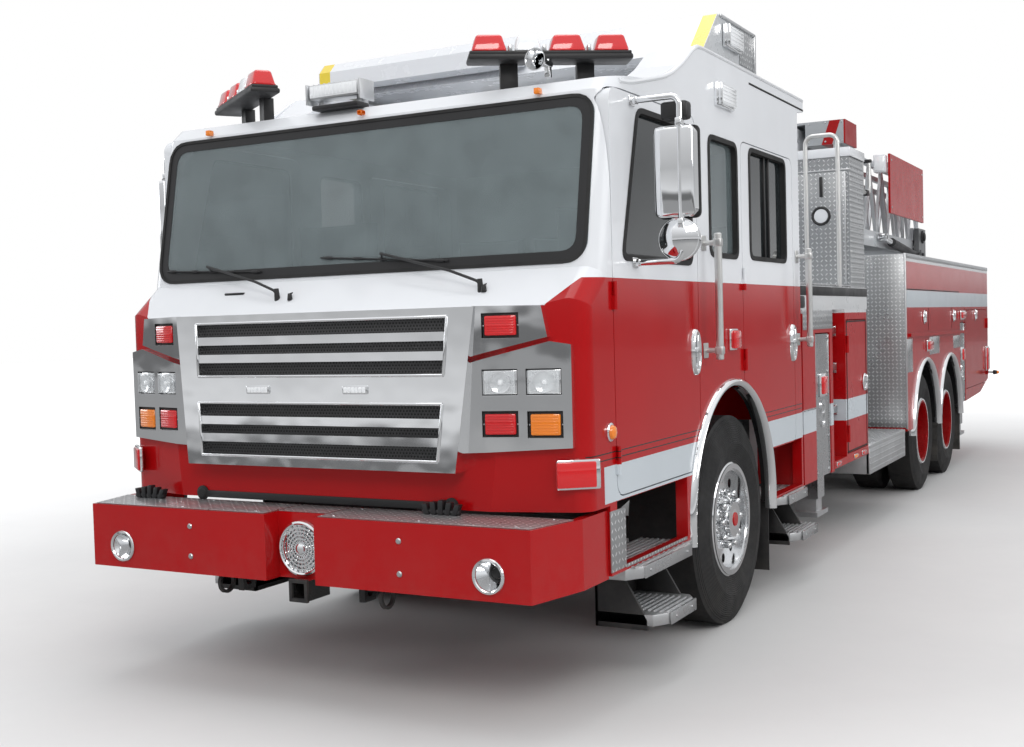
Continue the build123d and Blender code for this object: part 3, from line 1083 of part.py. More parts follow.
def make_outrigger(name, side, label, beam, middle, cover, cover_z):
    """One beam with its jack's tube and cover, and the jack's leg with its foot."""
    half = (JACK_X[1] - JACK_X[0]) / 2
    with BuildPart() as arm:
        side_block(side, (BEAM_TAIL_X, JACK_X[0] + 1), beam, BEAM_Z)
        side_block(side, JACK_X, (middle - half, middle + half), (BEAM_Z[0], JACK_TOP))
        side_block(side, (JACK_X[0] + JACK_WALL, JACK_X[1] - JACK_WALL),
                   (middle - half + JACK_WALL, middle + half - JACK_WALL),
                   (BEAM_Z[0] - 1, JACK_TOP - JACK_WALL), Mode.SUBTRACT)
        side_block(side, (JACK_X[1] - 1, JACK_X[1] + COVER), cover, cover_z)
    save(arm, f"outrigger_{name}_{label}")
    inset = JACK_WALL + SEAT_GAP
    with BuildPart() as leg:
        side_block(side, (JACK_X[0] + inset, JACK_X[1] - inset),
                   (middle - half + inset, middle + half - inset), (FOOT_Z[1] - 1, LEG_TOP))
        side_block(side, FOOT_X, (middle - FOOT_HALF, middle + FOOT_HALF), FOOT_Z)
    save(leg, f"jack_{name}_{label}")


# ------------------------------------------------------------------ rear body
REAR_AFT = (4640.0, 9622.0)
REAR_INNER = 700.0           # inner face of the side compartments
REAR_TOP = 2165.0
REAR_FLOOR_Z = 622.0
REAR_DECK_Z = (1150.0, 1250.0)
TAIL_WALL_TOP = 1700.0
REAR_ARCH_RADIUS = 640.0
REAR_ARCH_Z = 560.0
REAR_BAY_AFT = (7540.0, 7880.0)
REAR_BAY_CUT_AFT = (7514.0, 7906.0)
LOCKER_DOOR_AFT = (7930.0, 9500.0)
LOCKER_DOOR_Z = (800.0, 1660.0)
LOCKER_DOOR = 40.0
LOCKER_DOOR_HINGES = (940.0, 1500.0)
LOCKER_DEPTH = 480.0
# underside of the rear overhang, (station, z), from the rear arch to the tail
TAIL_PROFILE = ((7400.0, 655.0), (8968.0, 700.0), (9622.0, 829.0), (9636.0, 978.0))
PEDESTAL_RADIUS = 450.0
SLEW_AFT = 7700.0            # station of the turntable's axis
RING_TOP = 2162.0
DRIP_RAIL = ((4737.0, 1470.0), (7834.0, 1444.0))
DRIP_RAIL_PROUD = 24.0


def make_rear_body():
    with BuildPart() as body:
        (s0, z0), (s1, z1), (s2, z2), (s3, z3) = TAIL_PROFILE
        for side in (-1, 1):
            side_plate([(aft(REAR_AFT[0]), REAR_FLOOR_Z), (aft(s0), REAR_FLOOR_Z), (aft(s0), z0),
                        (aft(s1), z1), (aft(s2), z2), (aft(s3), z3), (aft(s3), REAR_TOP - 60),
                        (aft(REAR_AFT[1]), REAR_TOP), (aft(REAR_AFT[0]), REAR_TOP)],
                       *sorted((side * REAR_INNER, side * BODY_HALF)))
        block((-REAR_INNER - 1, REAR_INNER + 1), (aft(REAR_AFT[0]), aft(REAR_AFT[1])), REAR_DECK_Z)
        block((-REAR_INNER - 1, REAR_INNER + 1), (aft(REAR_AFT[0]), aft(REAR_AFT[0]) + 40),
              (REAR_DECK_Z[0], REAR_TOP))
        block((-REAR_INNER - 1, REAR_INNER + 1), (aft(REAR_AFT[1]) - 40, aft(REAR_AFT[1])),
              (REAR_DECK_Z[0], TAIL_WALL_TOP))
        for name, station in REAR_AXLES:
            rod((-BODY_HALF - 1, aft(station), REAR_ARCH_Z), (BODY_HALF + 1, aft(station), REAR_ARCH_Z),
                REAR_ARCH_RADIUS, Mode.SUBTRACT)
        for side in (-1, 1):
            side_block(side, (REAR_INNER - 1, BODY_HALF + 1), REAR_BAY_CUT_AFT,
                       (REAR_FLOOR_Z - 1, OUTRIGGER_CUT_Z), Mode.SUBTRACT)
            side_block(side, (BAY_X, BODY_HALF + 1), REAR_BAY_AFT, (REAR_FLOOR_Z - 1, BAY_TOP),
                       Mode.SUBTRACT)
            side_block(side, (BODY_HALF - LOCKER_DEPTH, BODY_HALF + 1),
                       (LOCKER_DOOR_AFT[0] - JOINT_GAP, LOCKER_DOOR_AFT[1] + JOINT_GAP),
                       (LOCKER_DOOR_Z[0] - JOINT_GAP, LOCKER_DOOR_Z[1] + JOINT_GAP), Mode.SUBTRACT)
            (f, zf), (r, zr) = DRIP_RAIL
            x = sorted((side * (BODY_HALF - 1), side * (BODY_HALF + DRIP_RAIL_PROUD)))
            side_plate([(aft(f), zf), (aft(r), zr), (aft(r), zr - 30), (aft(f), zf - 30)], *x)
        fixed_hinges(LOCKER_DOOR_AFT[1] + JOINT_GAP / 2, LOCKER_DOOR_HINGES, -1)
        for x in (RAIL_HALF - RAIL_FLANGE, -RAIL_HALF):
            block((x, x + RAIL_FLANGE), (aft(REAR_AFT[0]), aft(RAIL_REAR_AFT)),
                  (RAIL_TOP, REAR_DECK_Z[0] + 1))
        rod((0, aft(SLEW_AFT), REAR_DECK_Z[1] - 1), (0, aft(SLEW_AFT), RING_TOP), PEDESTAL_RADIUS)
        rod((0, aft(SLEW_AFT), REAR_DECK_Z[1]), (0, aft(SLEW_AFT), RING_TOP + 1), PEDESTAL_BORE,
            Mode.SUBTRACT)
    save(body, "rear_body")


def make_locker_doors():
    with BuildPart() as door:
        rounded_side(*LOCKER_DOOR_AFT, *LOCKER_DOOR_Z, 30, BODY_HALF - LOCKER_DOOR + JOINT_GAP, BODY_HALF)
        door_hinges(LOCKER_DOOR_AFT[1] + JOINT_GAP / 2, LOCKER_DOOR_HINGES, -1)
    save_pair(door, "locker_door")


# ------------------------------------------------------------------ turntable and ladder
PEDESTAL_BORE = 150.0
SLEW_POST = 149.95           # the turntable's centre post, in the pedestal's bore
DECK_Z = (2180.0, 2210.0)
DECK_RADIUS = 870.0
SLEW_RING_RADIUS = 420.0
CHEEK_X = (720.0, 770.0)
CHEEK_AFT = (7950.0, 8350.0)
CHEEK_TOP = 2590.0
HEEL = (8150.0, 2500.0)      # station and z of the ladder's heel pin
HEEL_RADIUS = 45.0
CYLINDER_FOOT = (7750.0, 2275.0)
CYLINDER_HEAD = (6100.0, 2400.0)
CYLINDER_X = 766.0
CYLINDER_RADIUS = 44.0
CYLINDER_ROD_RADIUS = 28.0
CYLINDER_PIN_RADIUS = 22.0
CYLINDER_EYE_RADIUS = 40.0
CYLINDER_EYE_HALF = 42.0
CYLINDER_LUG_X = (822.0, 842.0)
CYLINDER_BORE_GAP = 0.05
BARREL_LENGTH = 1250.0
LADDER_FRONT_AFT = 5100.0
# sections: name, outer x, rail's width, rail z, chord width, chord z, tail station, first rung's station
SECTIONS = (("ladder_base", 700.0, 60.0, (2310.0, 2460.0), 50.0, (3090.0, 3140.0), 8350.0, 5750.0),
            ("ladder_mid", 630.0, 50.0, (2350.0, 2480.0), 45.0, (2990.0, 3035.0), 7900.0, 5750.0),
            ("ladder_fly", 570.0, 40.0, (2390.0, 2500.0), 38.0, (2890.0, 2935.0), 7800.0, 5750.0))
RUNG_RADIUS = 13.0
RUNG_PITCH = 305.0
RUNG_RISE = 17.0             # rung's centre above the rail's underside
TRUSS_BAYS = 6
BRACE = 32.0
SLIDE_PAD = 60.0
ELBOW_X = (270.0, 640.0)
ELBOW_AFT = (5150.0, 5600.0)
ELBOW_RISE = 90.0            # elbow's underside above the base section's top chord
ELBOW_HEIGHT = 220.0
ELBOW_BASE = SECTIONS[0][5][1] + ELBOW_RISE
ELBOW_Z = (ELBOW_BASE, ELBOW_BASE + ELBOW_HEIGHT)
ELBOW_ROOF = 20.0
ELBOW_CHEEK_AFT = (5150.0, 5420.0)
JIB_PIN_RISE = 70.0          # jib's pin above the elbow's underside
JIB_PIN = (5400.0, ELBOW_BASE + JIB_PIN_RISE)
JIB_PIN_RADIUS = 40.0
JIB_HALF = 200.0
JIB_DEPTH = (135.0, 100.0)   # jib's underside below its pin, and its top above it
JIB_Z = (JIB_PIN[1] - JIB_DEPTH[0], JIB_PIN[1] + JIB_DEPTH[1])
JIB_FRONT_AFT = 760.0
JIB_WALL = 12.0
BASKET_PIN_DROP = 100.0      # basket's pin below the jib's
BASKET_PIN = (700.0, JIB_PIN[1] - BASKET_PIN_DROP)
BASKET_PIN_RADIUS = 30.0
SIGN_X = (838.0, 858.0)
SIGN_AFT = (6038.0, 7757.0)
SIGN_Z = (2630.0, 3209.0)
SIGN_BRACKETS = (6200.0, 7600.0)


def make_turntable():
    with BuildPart() as table:
        y = aft(SLEW_AFT)
        rod((0, y, DECK_Z[0]), (0, y, DECK_Z[1]), DECK_RADIUS)
        rod((0, y, RING_TOP + SEAT_GAP), (0, y, DECK_Z[0] + 1), SLEW_RING_RADIUS)
        rod((0, y, REAR_DECK_Z[1] + 40), (0, y, DECK_Z[0] + 1), SLEW_POST)
        for side in (-1, 1):
            side_block(side, CHEEK_X, CHEEK_AFT, (DECK_Z[1] - 1, CHEEK_TOP))
            x = (side * (CHEEK_X[0] - 1), side * (CHEEK_X[1] + 1))
            rod((x[0], aft(HEEL[0]), HEEL[1]), (x[1], aft(HEEL[0]), HEEL[1]), HEEL_RADIUS + BORE_GAP,
                Mode.SUBTRACT)
            foot, z = CYLINDER_FOOT
            side_block(side, CYLINDER_LUG_X, (foot - 60, foot + 60), (DECK_Z[1] - 25, z + 60))
            side_block(side, (DECK_RADIUS - 130, CYLINDER_LUG_X[1]), (foot - 60, foot + 60), DECK_Z)
            rod((side * (CYLINDER_X - CYLINDER_EYE_HALF - 4), aft(foot), z),
                (side * (CYLINDER_LUG_X[0] + 1), aft(foot), z), CYLINDER_PIN_RADIUS)
    save(table, "turntable")


def truss(outer, rail_width, rail_z, chord_width, chord_z, tail, first_rung):
    """One ladder section: bottom rails, top chords, braces between them, and rungs."""
    front, rear = aft(LADDER_FRONT_AFT), aft(tail)
    for side in (-1, 1):
        x = sorted((side * (outer - rail_width), side * outer))
        chord = sorted((side * (outer - chord_width), side * outer))
        brace = sorted((side * (outer - 38), side * (outer - 8)))
        block(x, (front, rear), rail_z)
        block(chord, (front, rear), chord_z)
        pitch = (rear - front - BRACE) / (2 * TRUSS_BAYS)
        low, high = rail_z[1] - 4, chord_z[0] + 4
        start = front + BRACE / 2
        for step in range(2 * TRUSS_BAYS):
            z = (low, high) if step % 2 == 0 else (high, low)
            strut((start + step * pitch, z[0]), (start + (step + 1) * pitch, z[1]), BRACE, *brace)
        for y in (front + BRACE / 2, rear - BRACE / 2):
            block(brace, (y - BRACE / 2, y + BRACE / 2), (low, high))
    z = rail_z[0] + RUNG_RISE
    for count in range(int((tail - 100 - first_rung) // RUNG_PITCH) + 1):
        y = aft(first_rung + count * RUNG_PITCH)
        rod((-(outer - rail_width / 2), y, z), (outer - rail_width / 2, y, z), RUNG_RADIUS)


def make_ladder():
    base, mid, fly = SECTIONS
    with BuildPart() as ladder_base:
        truss(*base[1:])
        inner = base[1] - base[2]
        for side in (-1, 1):
            side_block(side, (inner, base[1]), (HEEL[0] - 150, base[6]), (base[3][0], HEEL[1] + 100))
            pin = (side * (base[1] - 1), side * CHEEK_X[1])
            rod((pin[0], aft(HEEL[0]), HEEL[1]), (pin[1], aft(HEEL[0]), HEEL[1]), HEEL_RADIUS)
            add_pads(mid, base, side)
            head, z = CYLINDER_HEAD
            side_block(side, (base[1] - 1, base[1] + 12), (head - 70, head + 70), (z - 80, z + 40))
    save(ladder_base, "ladder_base")
    with BuildPart() as ladder_mid:
        truss(*mid[1:])
        for side in (-1, 1):
            add_pads(fly, mid, side)
    save(ladder_mid, "ladder_mid")
    with BuildPart() as ladder_fly:
        truss(*fly[1:])
        for side in (-1, 1):
            cheek = (fly[1] - fly[2], fly[1])
            side_block(side, cheek, ELBOW_CHEEK_AFT, (fly[5][0], ELBOW_Z[0] + 1))
            side_block(side, ELBOW_X, ELBOW_AFT, ELBOW_Z)
            rod((side * (ELBOW_X[0] - 1), aft(JIB_PIN[0]), JIB_PIN[1]),
                (side * (ELBOW_X[0] + 60), aft(JIB_PIN[0]), JIB_PIN[1]), JIB_PIN_RADIUS + BORE_GAP,
                Mode.SUBTRACT)
        block((-ELBOW_X[1], ELBOW_X[1]), (aft(ELBOW_AFT[0]), aft(ELBOW_AFT[1])),
              (ELBOW_Z[1] - ELBOW_ROOF, ELBOW_Z[1]))
        block((-ELBOW_X[0] - 1, ELBOW_X[0] + 1), (aft(ELBOW_AFT[1]) - ELBOW_ROOF, aft(ELBOW_AFT[1])), ELBOW_Z)
    save(ladder_fly, "ladder_fly")
    with BuildPart() as signs:
        for side in (-1, 1):
            side_block(side, SIGN_X, SIGN_AFT, SIGN_Z)
            for station in SIGN_BRACKETS:
                side_block(side, (base[1], SIGN_X[0] + 1), (station - 20, station + 20), base[5])
    save(signs, "sign_boards")


def add_pads(inner, outer, side):
    """Pads on the outer section's rails, just below the inner section's rails."""
    x = (inner[1] - inner[2], outer[1] - outer[2] + 1)
    for station in (LADDER_FRONT_AFT + SLIDE_PAD, outer[7] + 2 * RUNG_PITCH):
        side_block(side, x, (station - SLIDE_PAD / 2, station + SLIDE_PAD / 2),
                   (outer[3][0], inner[3][0] - SEAT_GAP))


def make_jib():
    with BuildPart() as jib:
        y0, y1 = aft(JIB_FRONT_AFT), aft(JIB_PIN[0])
        block((-JIB_HALF, JIB_HALF), (y0, y1), JIB_Z)
        rod((-JIB_HALF, y1, JIB_PIN[1]), (JIB_HALF, y1, JIB_PIN[1]), JIB_Z[1] - JIB_PIN[1])
        block((-JIB_HALF + JIB_WALL, JIB_HALF - JIB_WALL), (y0 + JIB_WALL, y1 - 160),
              (JIB_Z[0] + JIB_WALL, JIB_Z[1] - JIB_WALL), Mode.SUBTRACT)
        reach = ELBOW_X[0] + 50
        rod((-reach, y1, JIB_PIN[1]), (reach, y1, JIB_PIN[1]), JIB_PIN_RADIUS)
        pin = aft(BASKET_PIN[0])
        side_plate([(y0 + 1, JIB_Z[0]), (y0 + 1, BASKET_PIN[1] + 45), (pin, BASKET_PIN[1] + 45),
                    (pin, BASKET_PIN[1] - 35)], -JIB_HALF, JIB_HALF)
        rod((-JIB_HALF, pin, BASKET_PIN[1]), (JIB_HALF, pin, BASKET_PIN[1]), 45)
        reach = BASKET_LUG_X[1] - 5
        rod((-reach, pin, BASKET_PIN[1]), (reach, pin, BASKET_PIN[1]), BASKET_PIN_RADIUS)
    save(jib, "jib")


# ------------------------------------------------------------------ basket
BASKET_HALF = BODY_HALF - 57.0
BASKET_REAR_AFT = 627.0
BASKET_FRONT_AFT = (-244.0, -8.0)            # lower and upper edges of the sloped front
BASKET_Z = (3045.0, 3275.0)
BASKET_WALL = 22.0
BASKET_LUG_X = (215.0, 265.0)
TRAY_X = (-BASKET_HALF, 150.0)
TRAY = ((-244.0, 3085.0), (-335.0, 3097.0), (-335.0, 3190.0), (-280.0, 3247.0), (-36.0, 3247.0))


def basket_profile(inset):
    """The basket's side outline, its walls moved in by the inset, as (y, z) points."""
    low, high = BASKET_Z
    front, upper = BASKET_FRONT_AFT
    return [(aft(BASKET_REAR_AFT - inset), low + inset), (aft(front + inset * 1.4), low + inset),
            (aft(upper + inset * 1.4 + (40 if inset else 0)), high + (40 if inset else 0)),
            (aft(BASKET_REAR_AFT - inset), high + (40 if inset else 0))]


def make_basket():
    with BuildPart() as basket:
        side_plate(basket_profile(0), -BASKET_HALF, BASKET_HALF)
        side_plate([(aft(station), z) for station, z in TRAY], *TRAY_X)
        side_plate(basket_profile(BASKET_WALL), -BASKET_HALF + BASKET_WALL, BASKET_HALF - BASKET_WALL,
                   Mode.SUBTRACT)
        pin = aft(BASKET_PIN[0])
        for side in (-1, 1):
            x = sorted((side * BASKET_LUG_X[0], side * BASKET_LUG_X[1]))
            block(x, (aft(BASKET_REAR_AFT) - 1, pin), (BASKET_PIN[1] - 50, BASKET_PIN[1] + 50))
            rod((x[0], pin, BASKET_PIN[1]), (x[1], pin, BASKET_PIN[1]), 50)
            rod((x[0] - 1, pin, BASKET_PIN[1]), (x[1] + 1, pin, BASKET_PIN[1]),
                BASKET_PIN_RADIUS + BORE_GAP, Mode.SUBTRACT)
    save(basket, "basket")


# ------------------------------------------------------------------ elevating cylinders
def make_cylinders():
    foot = (aft(CYLINDER_FOOT[0]), CYLINDER_FOOT[1])
    head = (aft(CYLINDER_HEAD[0]), CYLINDER_HEAD[1])
    length = hypot(head[0] - foot[0], head[1] - foot[1])
    uy, uz = (head[0] - foot[0]) / length, (head[1] - foot[1]) / length

    def along(side, distance):
        return (side * CYLINDER_X, foot[0] + uy * distance, foot[1] + uz * distance)

    with BuildPart() as barrels:
        for side in (-1, 1):
            rod(along(side, 30), along(side, BARREL_LENGTH), CYLINDER_RADIUS)
            eye = (side * (CYLINDER_X - CYLINDER_EYE_HALF), side * (CYLINDER_X + CYLINDER_EYE_HALF))
            rod((eye[0], *foot), (eye[1], *foot), CYLINDER_EYE_RADIUS)
            rod((eye[0] - side, *foot), (eye[1] + side, *foot), CYLINDER_PIN_RADIUS + CYLINDER_BORE_GAP,
                Mode.SUBTRACT)
            rod(along(side, 100), along(side, BARREL_LENGTH + 1), CYLINDER_ROD_RADIUS + CYLINDER_BORE_GAP,
                Mode.SUBTRACT)
    save(barrels, "cylinder_barrels")
    with BuildPart() as rods:
        for side in (-1, 1):
            rod(along(side, 110), along(side, length), CYLINDER_ROD_RADIUS)
            eye = (side * (CYLINDER_X - CYLINDER_EYE_HALF), side * (CYLINDER_X + CYLINDER_EYE_HALF))
            rod((eye[0], *head), (eye[1], *head), CYLINDER_EYE_RADIUS)
            rod((eye[0] - side, *head), (eye[1] + side, *head), CYLINDER_PIN_RADIUS, Mode.SUBTRACT)
    save(rods, "cylinder_rods")


# ------------------------------------------------------------------ everything
os.makedirs("parts", exist_ok=True)
cab_form = cab_body()
make_frame()
make_wheels()
make_front_axle()
make_knuckle()
make_rear_axles()
make_engine()
make_cab(cab_form)
make_doors()
make_interior()
make_bumper()
make_front(cab_form)
make_steps()
make_rails()
make_mirrors()
make_roof_lights(cab_form)
make_pump_module()
make_pump_doors()
make_outriggers()
make_rear_body()
make_locker_doors()
make_turntable()
make_ladder()
make_jib()
make_basket()
make_cylinders()
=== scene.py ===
import math
from itertools import product

import bmesh
import bpy
from mathutils import Matrix, Vector


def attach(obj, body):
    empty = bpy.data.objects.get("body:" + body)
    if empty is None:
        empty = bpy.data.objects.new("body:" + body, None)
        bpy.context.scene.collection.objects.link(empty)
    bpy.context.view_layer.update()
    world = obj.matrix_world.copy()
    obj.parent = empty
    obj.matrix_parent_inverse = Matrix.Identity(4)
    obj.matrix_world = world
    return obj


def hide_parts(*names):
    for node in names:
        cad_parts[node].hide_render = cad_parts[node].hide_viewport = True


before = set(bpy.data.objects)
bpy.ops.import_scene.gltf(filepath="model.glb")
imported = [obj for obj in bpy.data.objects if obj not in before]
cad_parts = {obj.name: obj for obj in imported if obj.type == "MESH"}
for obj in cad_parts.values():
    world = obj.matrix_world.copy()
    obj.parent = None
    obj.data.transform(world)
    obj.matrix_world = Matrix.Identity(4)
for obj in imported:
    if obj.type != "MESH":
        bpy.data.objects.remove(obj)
FRONT = -3.682                          # front axle, in metres; stations are millimetres aft of it
SIDE = 1257                             # x of the flat sides of cab and body, in millimetres
FRONT_HUB_Z, REAR_HUB_Z = 562, 545      # heights of the wheels' centres
REAR_AXLES = ((1, 5560), (2, 6881))     # number and station
FRONT_ARCH, REAR_ARCH_Z = (-50, 640), 560   # middles of the wheel arches
SIDES = (("left", 1), ("right", -1))    # the driver's side is +X
X, Y, Z = Vector((1, 0, 0)), Vector((0, 1, 0)), Vector((0, 0, 1))


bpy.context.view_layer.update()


def P(x, s, z):
    """A point from x, station and z in millimetres."""
    return Vector((x / 1000, FRONT + s / 1000, z / 1000))


# ------------------------------------------------------------------ materials
class Tree:
    """A material or world and the nodes it is built from."""

    def __init__(self, owner):
        self.owner = owner
        owner.use_nodes = True
        self.nt = owner.node_tree
        self.shader = self.nt.nodes.get("Principled BSDF") or self.nt.nodes["Background"]
        self.coord = self.node("ShaderNodeTexCoord").outputs

    def node(self, kind, **props):
        n = self.nt.nodes.new(kind)
        for key, value in props.items():
            setattr(n, key, value)
        return n

    def put(self, socket, value):
        """Links a socket to the input, or gives the input a plain value."""
        if isinstance(value, bpy.types.NodeSocket):
            self.nt.links.new(value, socket)
        elif value is not None:
            socket.default_value = value

    def math(self, op, a, b=None, clamp=False):
        n = self.node("ShaderNodeMath", operation=op, use_clamp=clamp)
        self.put(n.inputs[0], a)
        self.put(n.inputs[1], b)
        return n.outputs[0]

    def add(self, a, b):
        return self.math("ADD", a, b)

    def sub(self, a, b):
        return self.math("SUBTRACT", a, b)

    def mul(self, a, b, clamp=False):
        return self.math("MULTIPLY", a, b, clamp)

    def square(self, a):
        return self.math("POWER", a, 2.0)

    def over(self, a, b):
        """1 where a is more than b."""
        return self.math("GREATER_THAN", a, b)

    def under(self, a, b):
        """1 where a is less than b."""
        return self.math("LESS_THAN", a, b)

    def band(self, value, lo, hi):
        """1 between lo and hi, 0 outside."""
        return self.mul(self.over(value, lo), self.under(value, hi))

    def off_middle(self, x):
        """Distance from the vehicle's middle plane."""
        return self.math("ABSOLUTE", x)

    def station(self, y):
        """Metres aft of the front axle."""
        return self.sub(y, FRONT)

    def xyz(self, source=None):
        n = self.node("ShaderNodeSeparateXYZ")
        self.put(n.inputs[0], source or self.coord["Object"])
        return n.outputs

    def noise(self, scale, detail=3, rough=0.55):
        n = self.node("ShaderNodeTexNoise")
        for key, value in (("Vector", self.coord["Object"]), ("Scale", scale), ("Detail", detail),
                           ("Roughness", rough)):
            self.put(n.inputs[key], value)
        return n.outputs["Fac"]

    def ramp(self, value, lo, hi, out_lo=0.0, out_hi=1.0):
        n = self.node("ShaderNodeMapRange")
        for socket, item in zip(n.inputs, (value, lo, hi, out_lo, out_hi)):
            self.put(socket, item)
        return n.outputs[0]

    def mix(self, fac, a, b, blend="MIX"):
        n = self.node("ShaderNodeMix", data_type="RGBA", blend_type=blend)
        self.put(n.inputs[0], fac)
        for socket, value in ((n.inputs[6], a), (n.inputs[7], b)):
            self.put(socket, value if isinstance(value, bpy.types.NodeSocket) else (*value[:3], 1))
        return n.outputs[2]

    def bump(self, height, strength, distance=0.001, normal=None):
        n = self.node("ShaderNodeBump")
        for key, value in (("Strength", strength), ("Distance", distance), ("Height", height),
                           ("Normal", normal)):
            self.put(n.inputs[key], value)
        return n.outputs[0]

    def finish(self, **inputs):
        """Sets the shader's inputs, named with _ for a space, and gives back what the nodes belong to."""
        for key, value in inputs.items():
            self.put(self.shader.inputs[key.replace("_", " ")], value)
        return self.owner


def surface(name, color, rough=0.4, metal=0.0, coat=0.0, vary=0.06, grain=180.0, bump=0.05, dirt=0.25,
            dirt_top=0.9, emit=0.0, spec=0.5, zones=None, height=None, wear=None):
    """A finish with colour variation, worn roughness, fine bump and dust low down."""
    t = Tree(bpy.data.materials.new(name))
    x, y, z = t.xyz()
    broad = t.ramp(t.noise(1.7, 4), 0.3, 0.7)
    if zones:
        tint = t.mix(1.0, zones(t, x, y, z), t.mix(broad, (1 - vary,) * 3, (1, 1, 1)), "MULTIPLY")
    else:
        tint = t.mix(broad, tuple(c * (1 - vary) for c in color),
                     tuple(min(c * (1 + vary), 1) for c in color))
    low = t.ramp(z, dirt_top, 0.0)
    dust = t.mul(t.mul(low, t.ramp(t.noise(9.0, 5, 0.7), 0.35, 0.75)), dirt, clamp=True)
    tint = t.mix(dust, tint, (0.17, 0.15, 0.13))
    if wear:
        tint = t.mix(t.ramp(t.noise(26.0, 6, 0.75), 0.62, 0.72, 0.0, wear[0]), tint, wear[1])
    worn = t.ramp(t.noise(5.0, 5, 0.65), 0.3, 0.75, rough * 0.8, min(rough * 1.3, 1))
    normal = t.bump(t.noise(grain, 2), bump, 0.0006)
    if height:
        pattern, strength, depth = height
        normal = t.bump(pattern(t, x, y, z), strength, depth, normal)
    if emit:
        t.finish(Emission_Color=tint, Emission_Strength=emit)
    return t.finish(Base_Color=tint, Metallic=metal, Roughness=t.add(worn, t.mul(dust, 0.5)),
                    Normal=normal, Specular_IOR_Level=spec, Coat_Weight=coat, Coat_Roughness=0.04)


def glass(name, tint, alpha, rough=0.03):
    """Tinted glass, a little grimy; what is behind it shows through where alpha is low."""
    t = Tree(bpy.data.materials.new(name))
    grime = t.ramp(t.noise(6.0, 5), 0.35, 0.8)
    return t.finish(Base_Color=t.mix(grime, tint, tuple(c * 1.25 for c in tint)),
                    Roughness=t.ramp(t.noise(14.0, 4), 0.3, 0.8, rough, rough * 2.2),
                    Alpha=t.ramp(grime, 0.0, 1.0, alpha, min(alpha + 0.05, 1)),
                    Normal=t.bump(t.noise(1.1, 1), 0.006, 0.002), IOR=1.5, Coat_Weight=0.6)


RED = (0.40, 0.0035, 0.005)
WHITE = (0.74, 0.76, 0.79)
STRIPE = (0.55, 0.60, 0.64)
ALU = (0.62, 0.63, 0.64)
BARE_METAL = (0.55, 0.56, 0.57)
DULL_PLATE = (0.42, 0.43, 0.44)
BLACK = (0.012, 0.012, 0.013)
SEAM = (0.02, 0.02, 0.02)
TYRE = (0.009, 0.009, 0.0095)
LUG_PITCH = 0.034
TABLE_TOP = 2.2125          # height of the turntable's plate


def lugs(t, x, y, z):
    """Height of a chequered tread plate: raised bars, turned about from cell to cell."""
    flat = t.over(t.math("ABSOLUTE", t.xyz(t.coord["Normal"])[2]), 0.7)
    upright = t.sub(1.0, flat)
    u = t.math("DIVIDE", t.add(x, t.mul(y, upright)), LUG_PITCH)
    v = t.math("DIVIDE", t.add(t.mul(z, upright), t.mul(y, flat)), LUG_PITCH)
    cell = t.add(t.math("FLOOR", u), t.math("FLOOR", v))
    turn = t.sub(t.mul(t.math("FLOORED_MODULO", cell, 2.0), 2.0), 1.0)
    fu, fv = (t.sub(t.math("FRACT", w), 0.5) for w in (u, v))
    along, across = t.add(fu, t.mul(fv, turn)), t.sub(fu, t.mul(fv, turn))
    return t.ramp(t.add(t.square(along), t.mul(t.square(across), 9.0)), 0.16, 0.30, 1.0, 0.0)


def table_lugs(t, x, y, z):
    return t.mul(lugs(t, x, y, z), t.under(z, TABLE_TOP))


def mesh_holes(t, x, y, z):
    """Distance from the nearest hole's middle, in rows set over by half a hole."""
    u, v = t.mul(x, 62.0), t.mul(z, 71.6)
    row = t.math("FLOORED_MODULO", t.math("FLOOR", v), 2.0)
    fu = t.sub(t.math("FRACT", t.add(u, t.mul(row, 0.5))), 0.5)
    return t.add(t.square(fu), t.square(t.sub(t.math("FRACT", v), 0.5)))


def mesh_wires(t, x, y, z):
    return t.ramp(mesh_holes(t, x, y, z), 0.08, 0.16)


def tyre_blocks(station, hub_z, blocks, tread_r):
    """Cross grooves on the tread and rings on the sidewall, about the wheel's own centre."""
    def build(t, x, y, z):
        dy, dz = t.sub(y, FRONT + station / 1000), t.sub(z, hub_z / 1000)
        radius = t.math("SQRT", t.add(t.square(dy), t.square(dz)))
        turn = t.mul(t.math("ARCTAN2", dy, dz), blocks / (2 * math.pi))
        skew = t.add(turn, t.mul(t.math("SINE", t.mul(x, 55.0)), 0.22))
        tread = t.mul(t.under(t.math("FRACT", skew), 0.14), t.over(radius, tread_r))
        rings = t.mul(t.math("SINE", t.mul(radius, 620.0)), 0.12)
        return t.sub(t.mul(rings, t.under(radius, tread_r)), tread)
    return build


def ripples(t, x, y, z):
    return t.noise(3.0, 2)


def round_middle(t, y, z, station, z_mid, r):
    """1 within r of a wheel's middle, all in millimetres."""
    dy, dz = t.sub(y, FRONT + station / 1000), t.sub(z, z_mid / 1000)
    return t.under(t.add(t.square(dy), t.square(dz)), (r / 1000) ** 2)


def cab_zones(t, x, y, z):
    """Red below and white above, with a stripe and two thin lines; black wheel housings."""
    ax = t.off_middle(x)
    white = t.over(z, t.ramp(ax, 1.09, 1.20, 1.722, 1.836))
    side = t.over(ax, 1.235)
    stripe = t.mul(t.mul(side, t.band(z, 0.887, 1.043)), t.over(y, FRONT - 1.735))
    lines = t.mul(side, t.add(t.band(z, 1.069, 1.074), t.band(z, 1.096, 1.101)))
    color = t.mix(white, t.mix(stripe, t.mix(lines, RED, SEAM), STRIPE), WHITE)
    return t.mix(round_middle(t, y, z, *FRONT_ARCH, 652.5), color, BLACK)


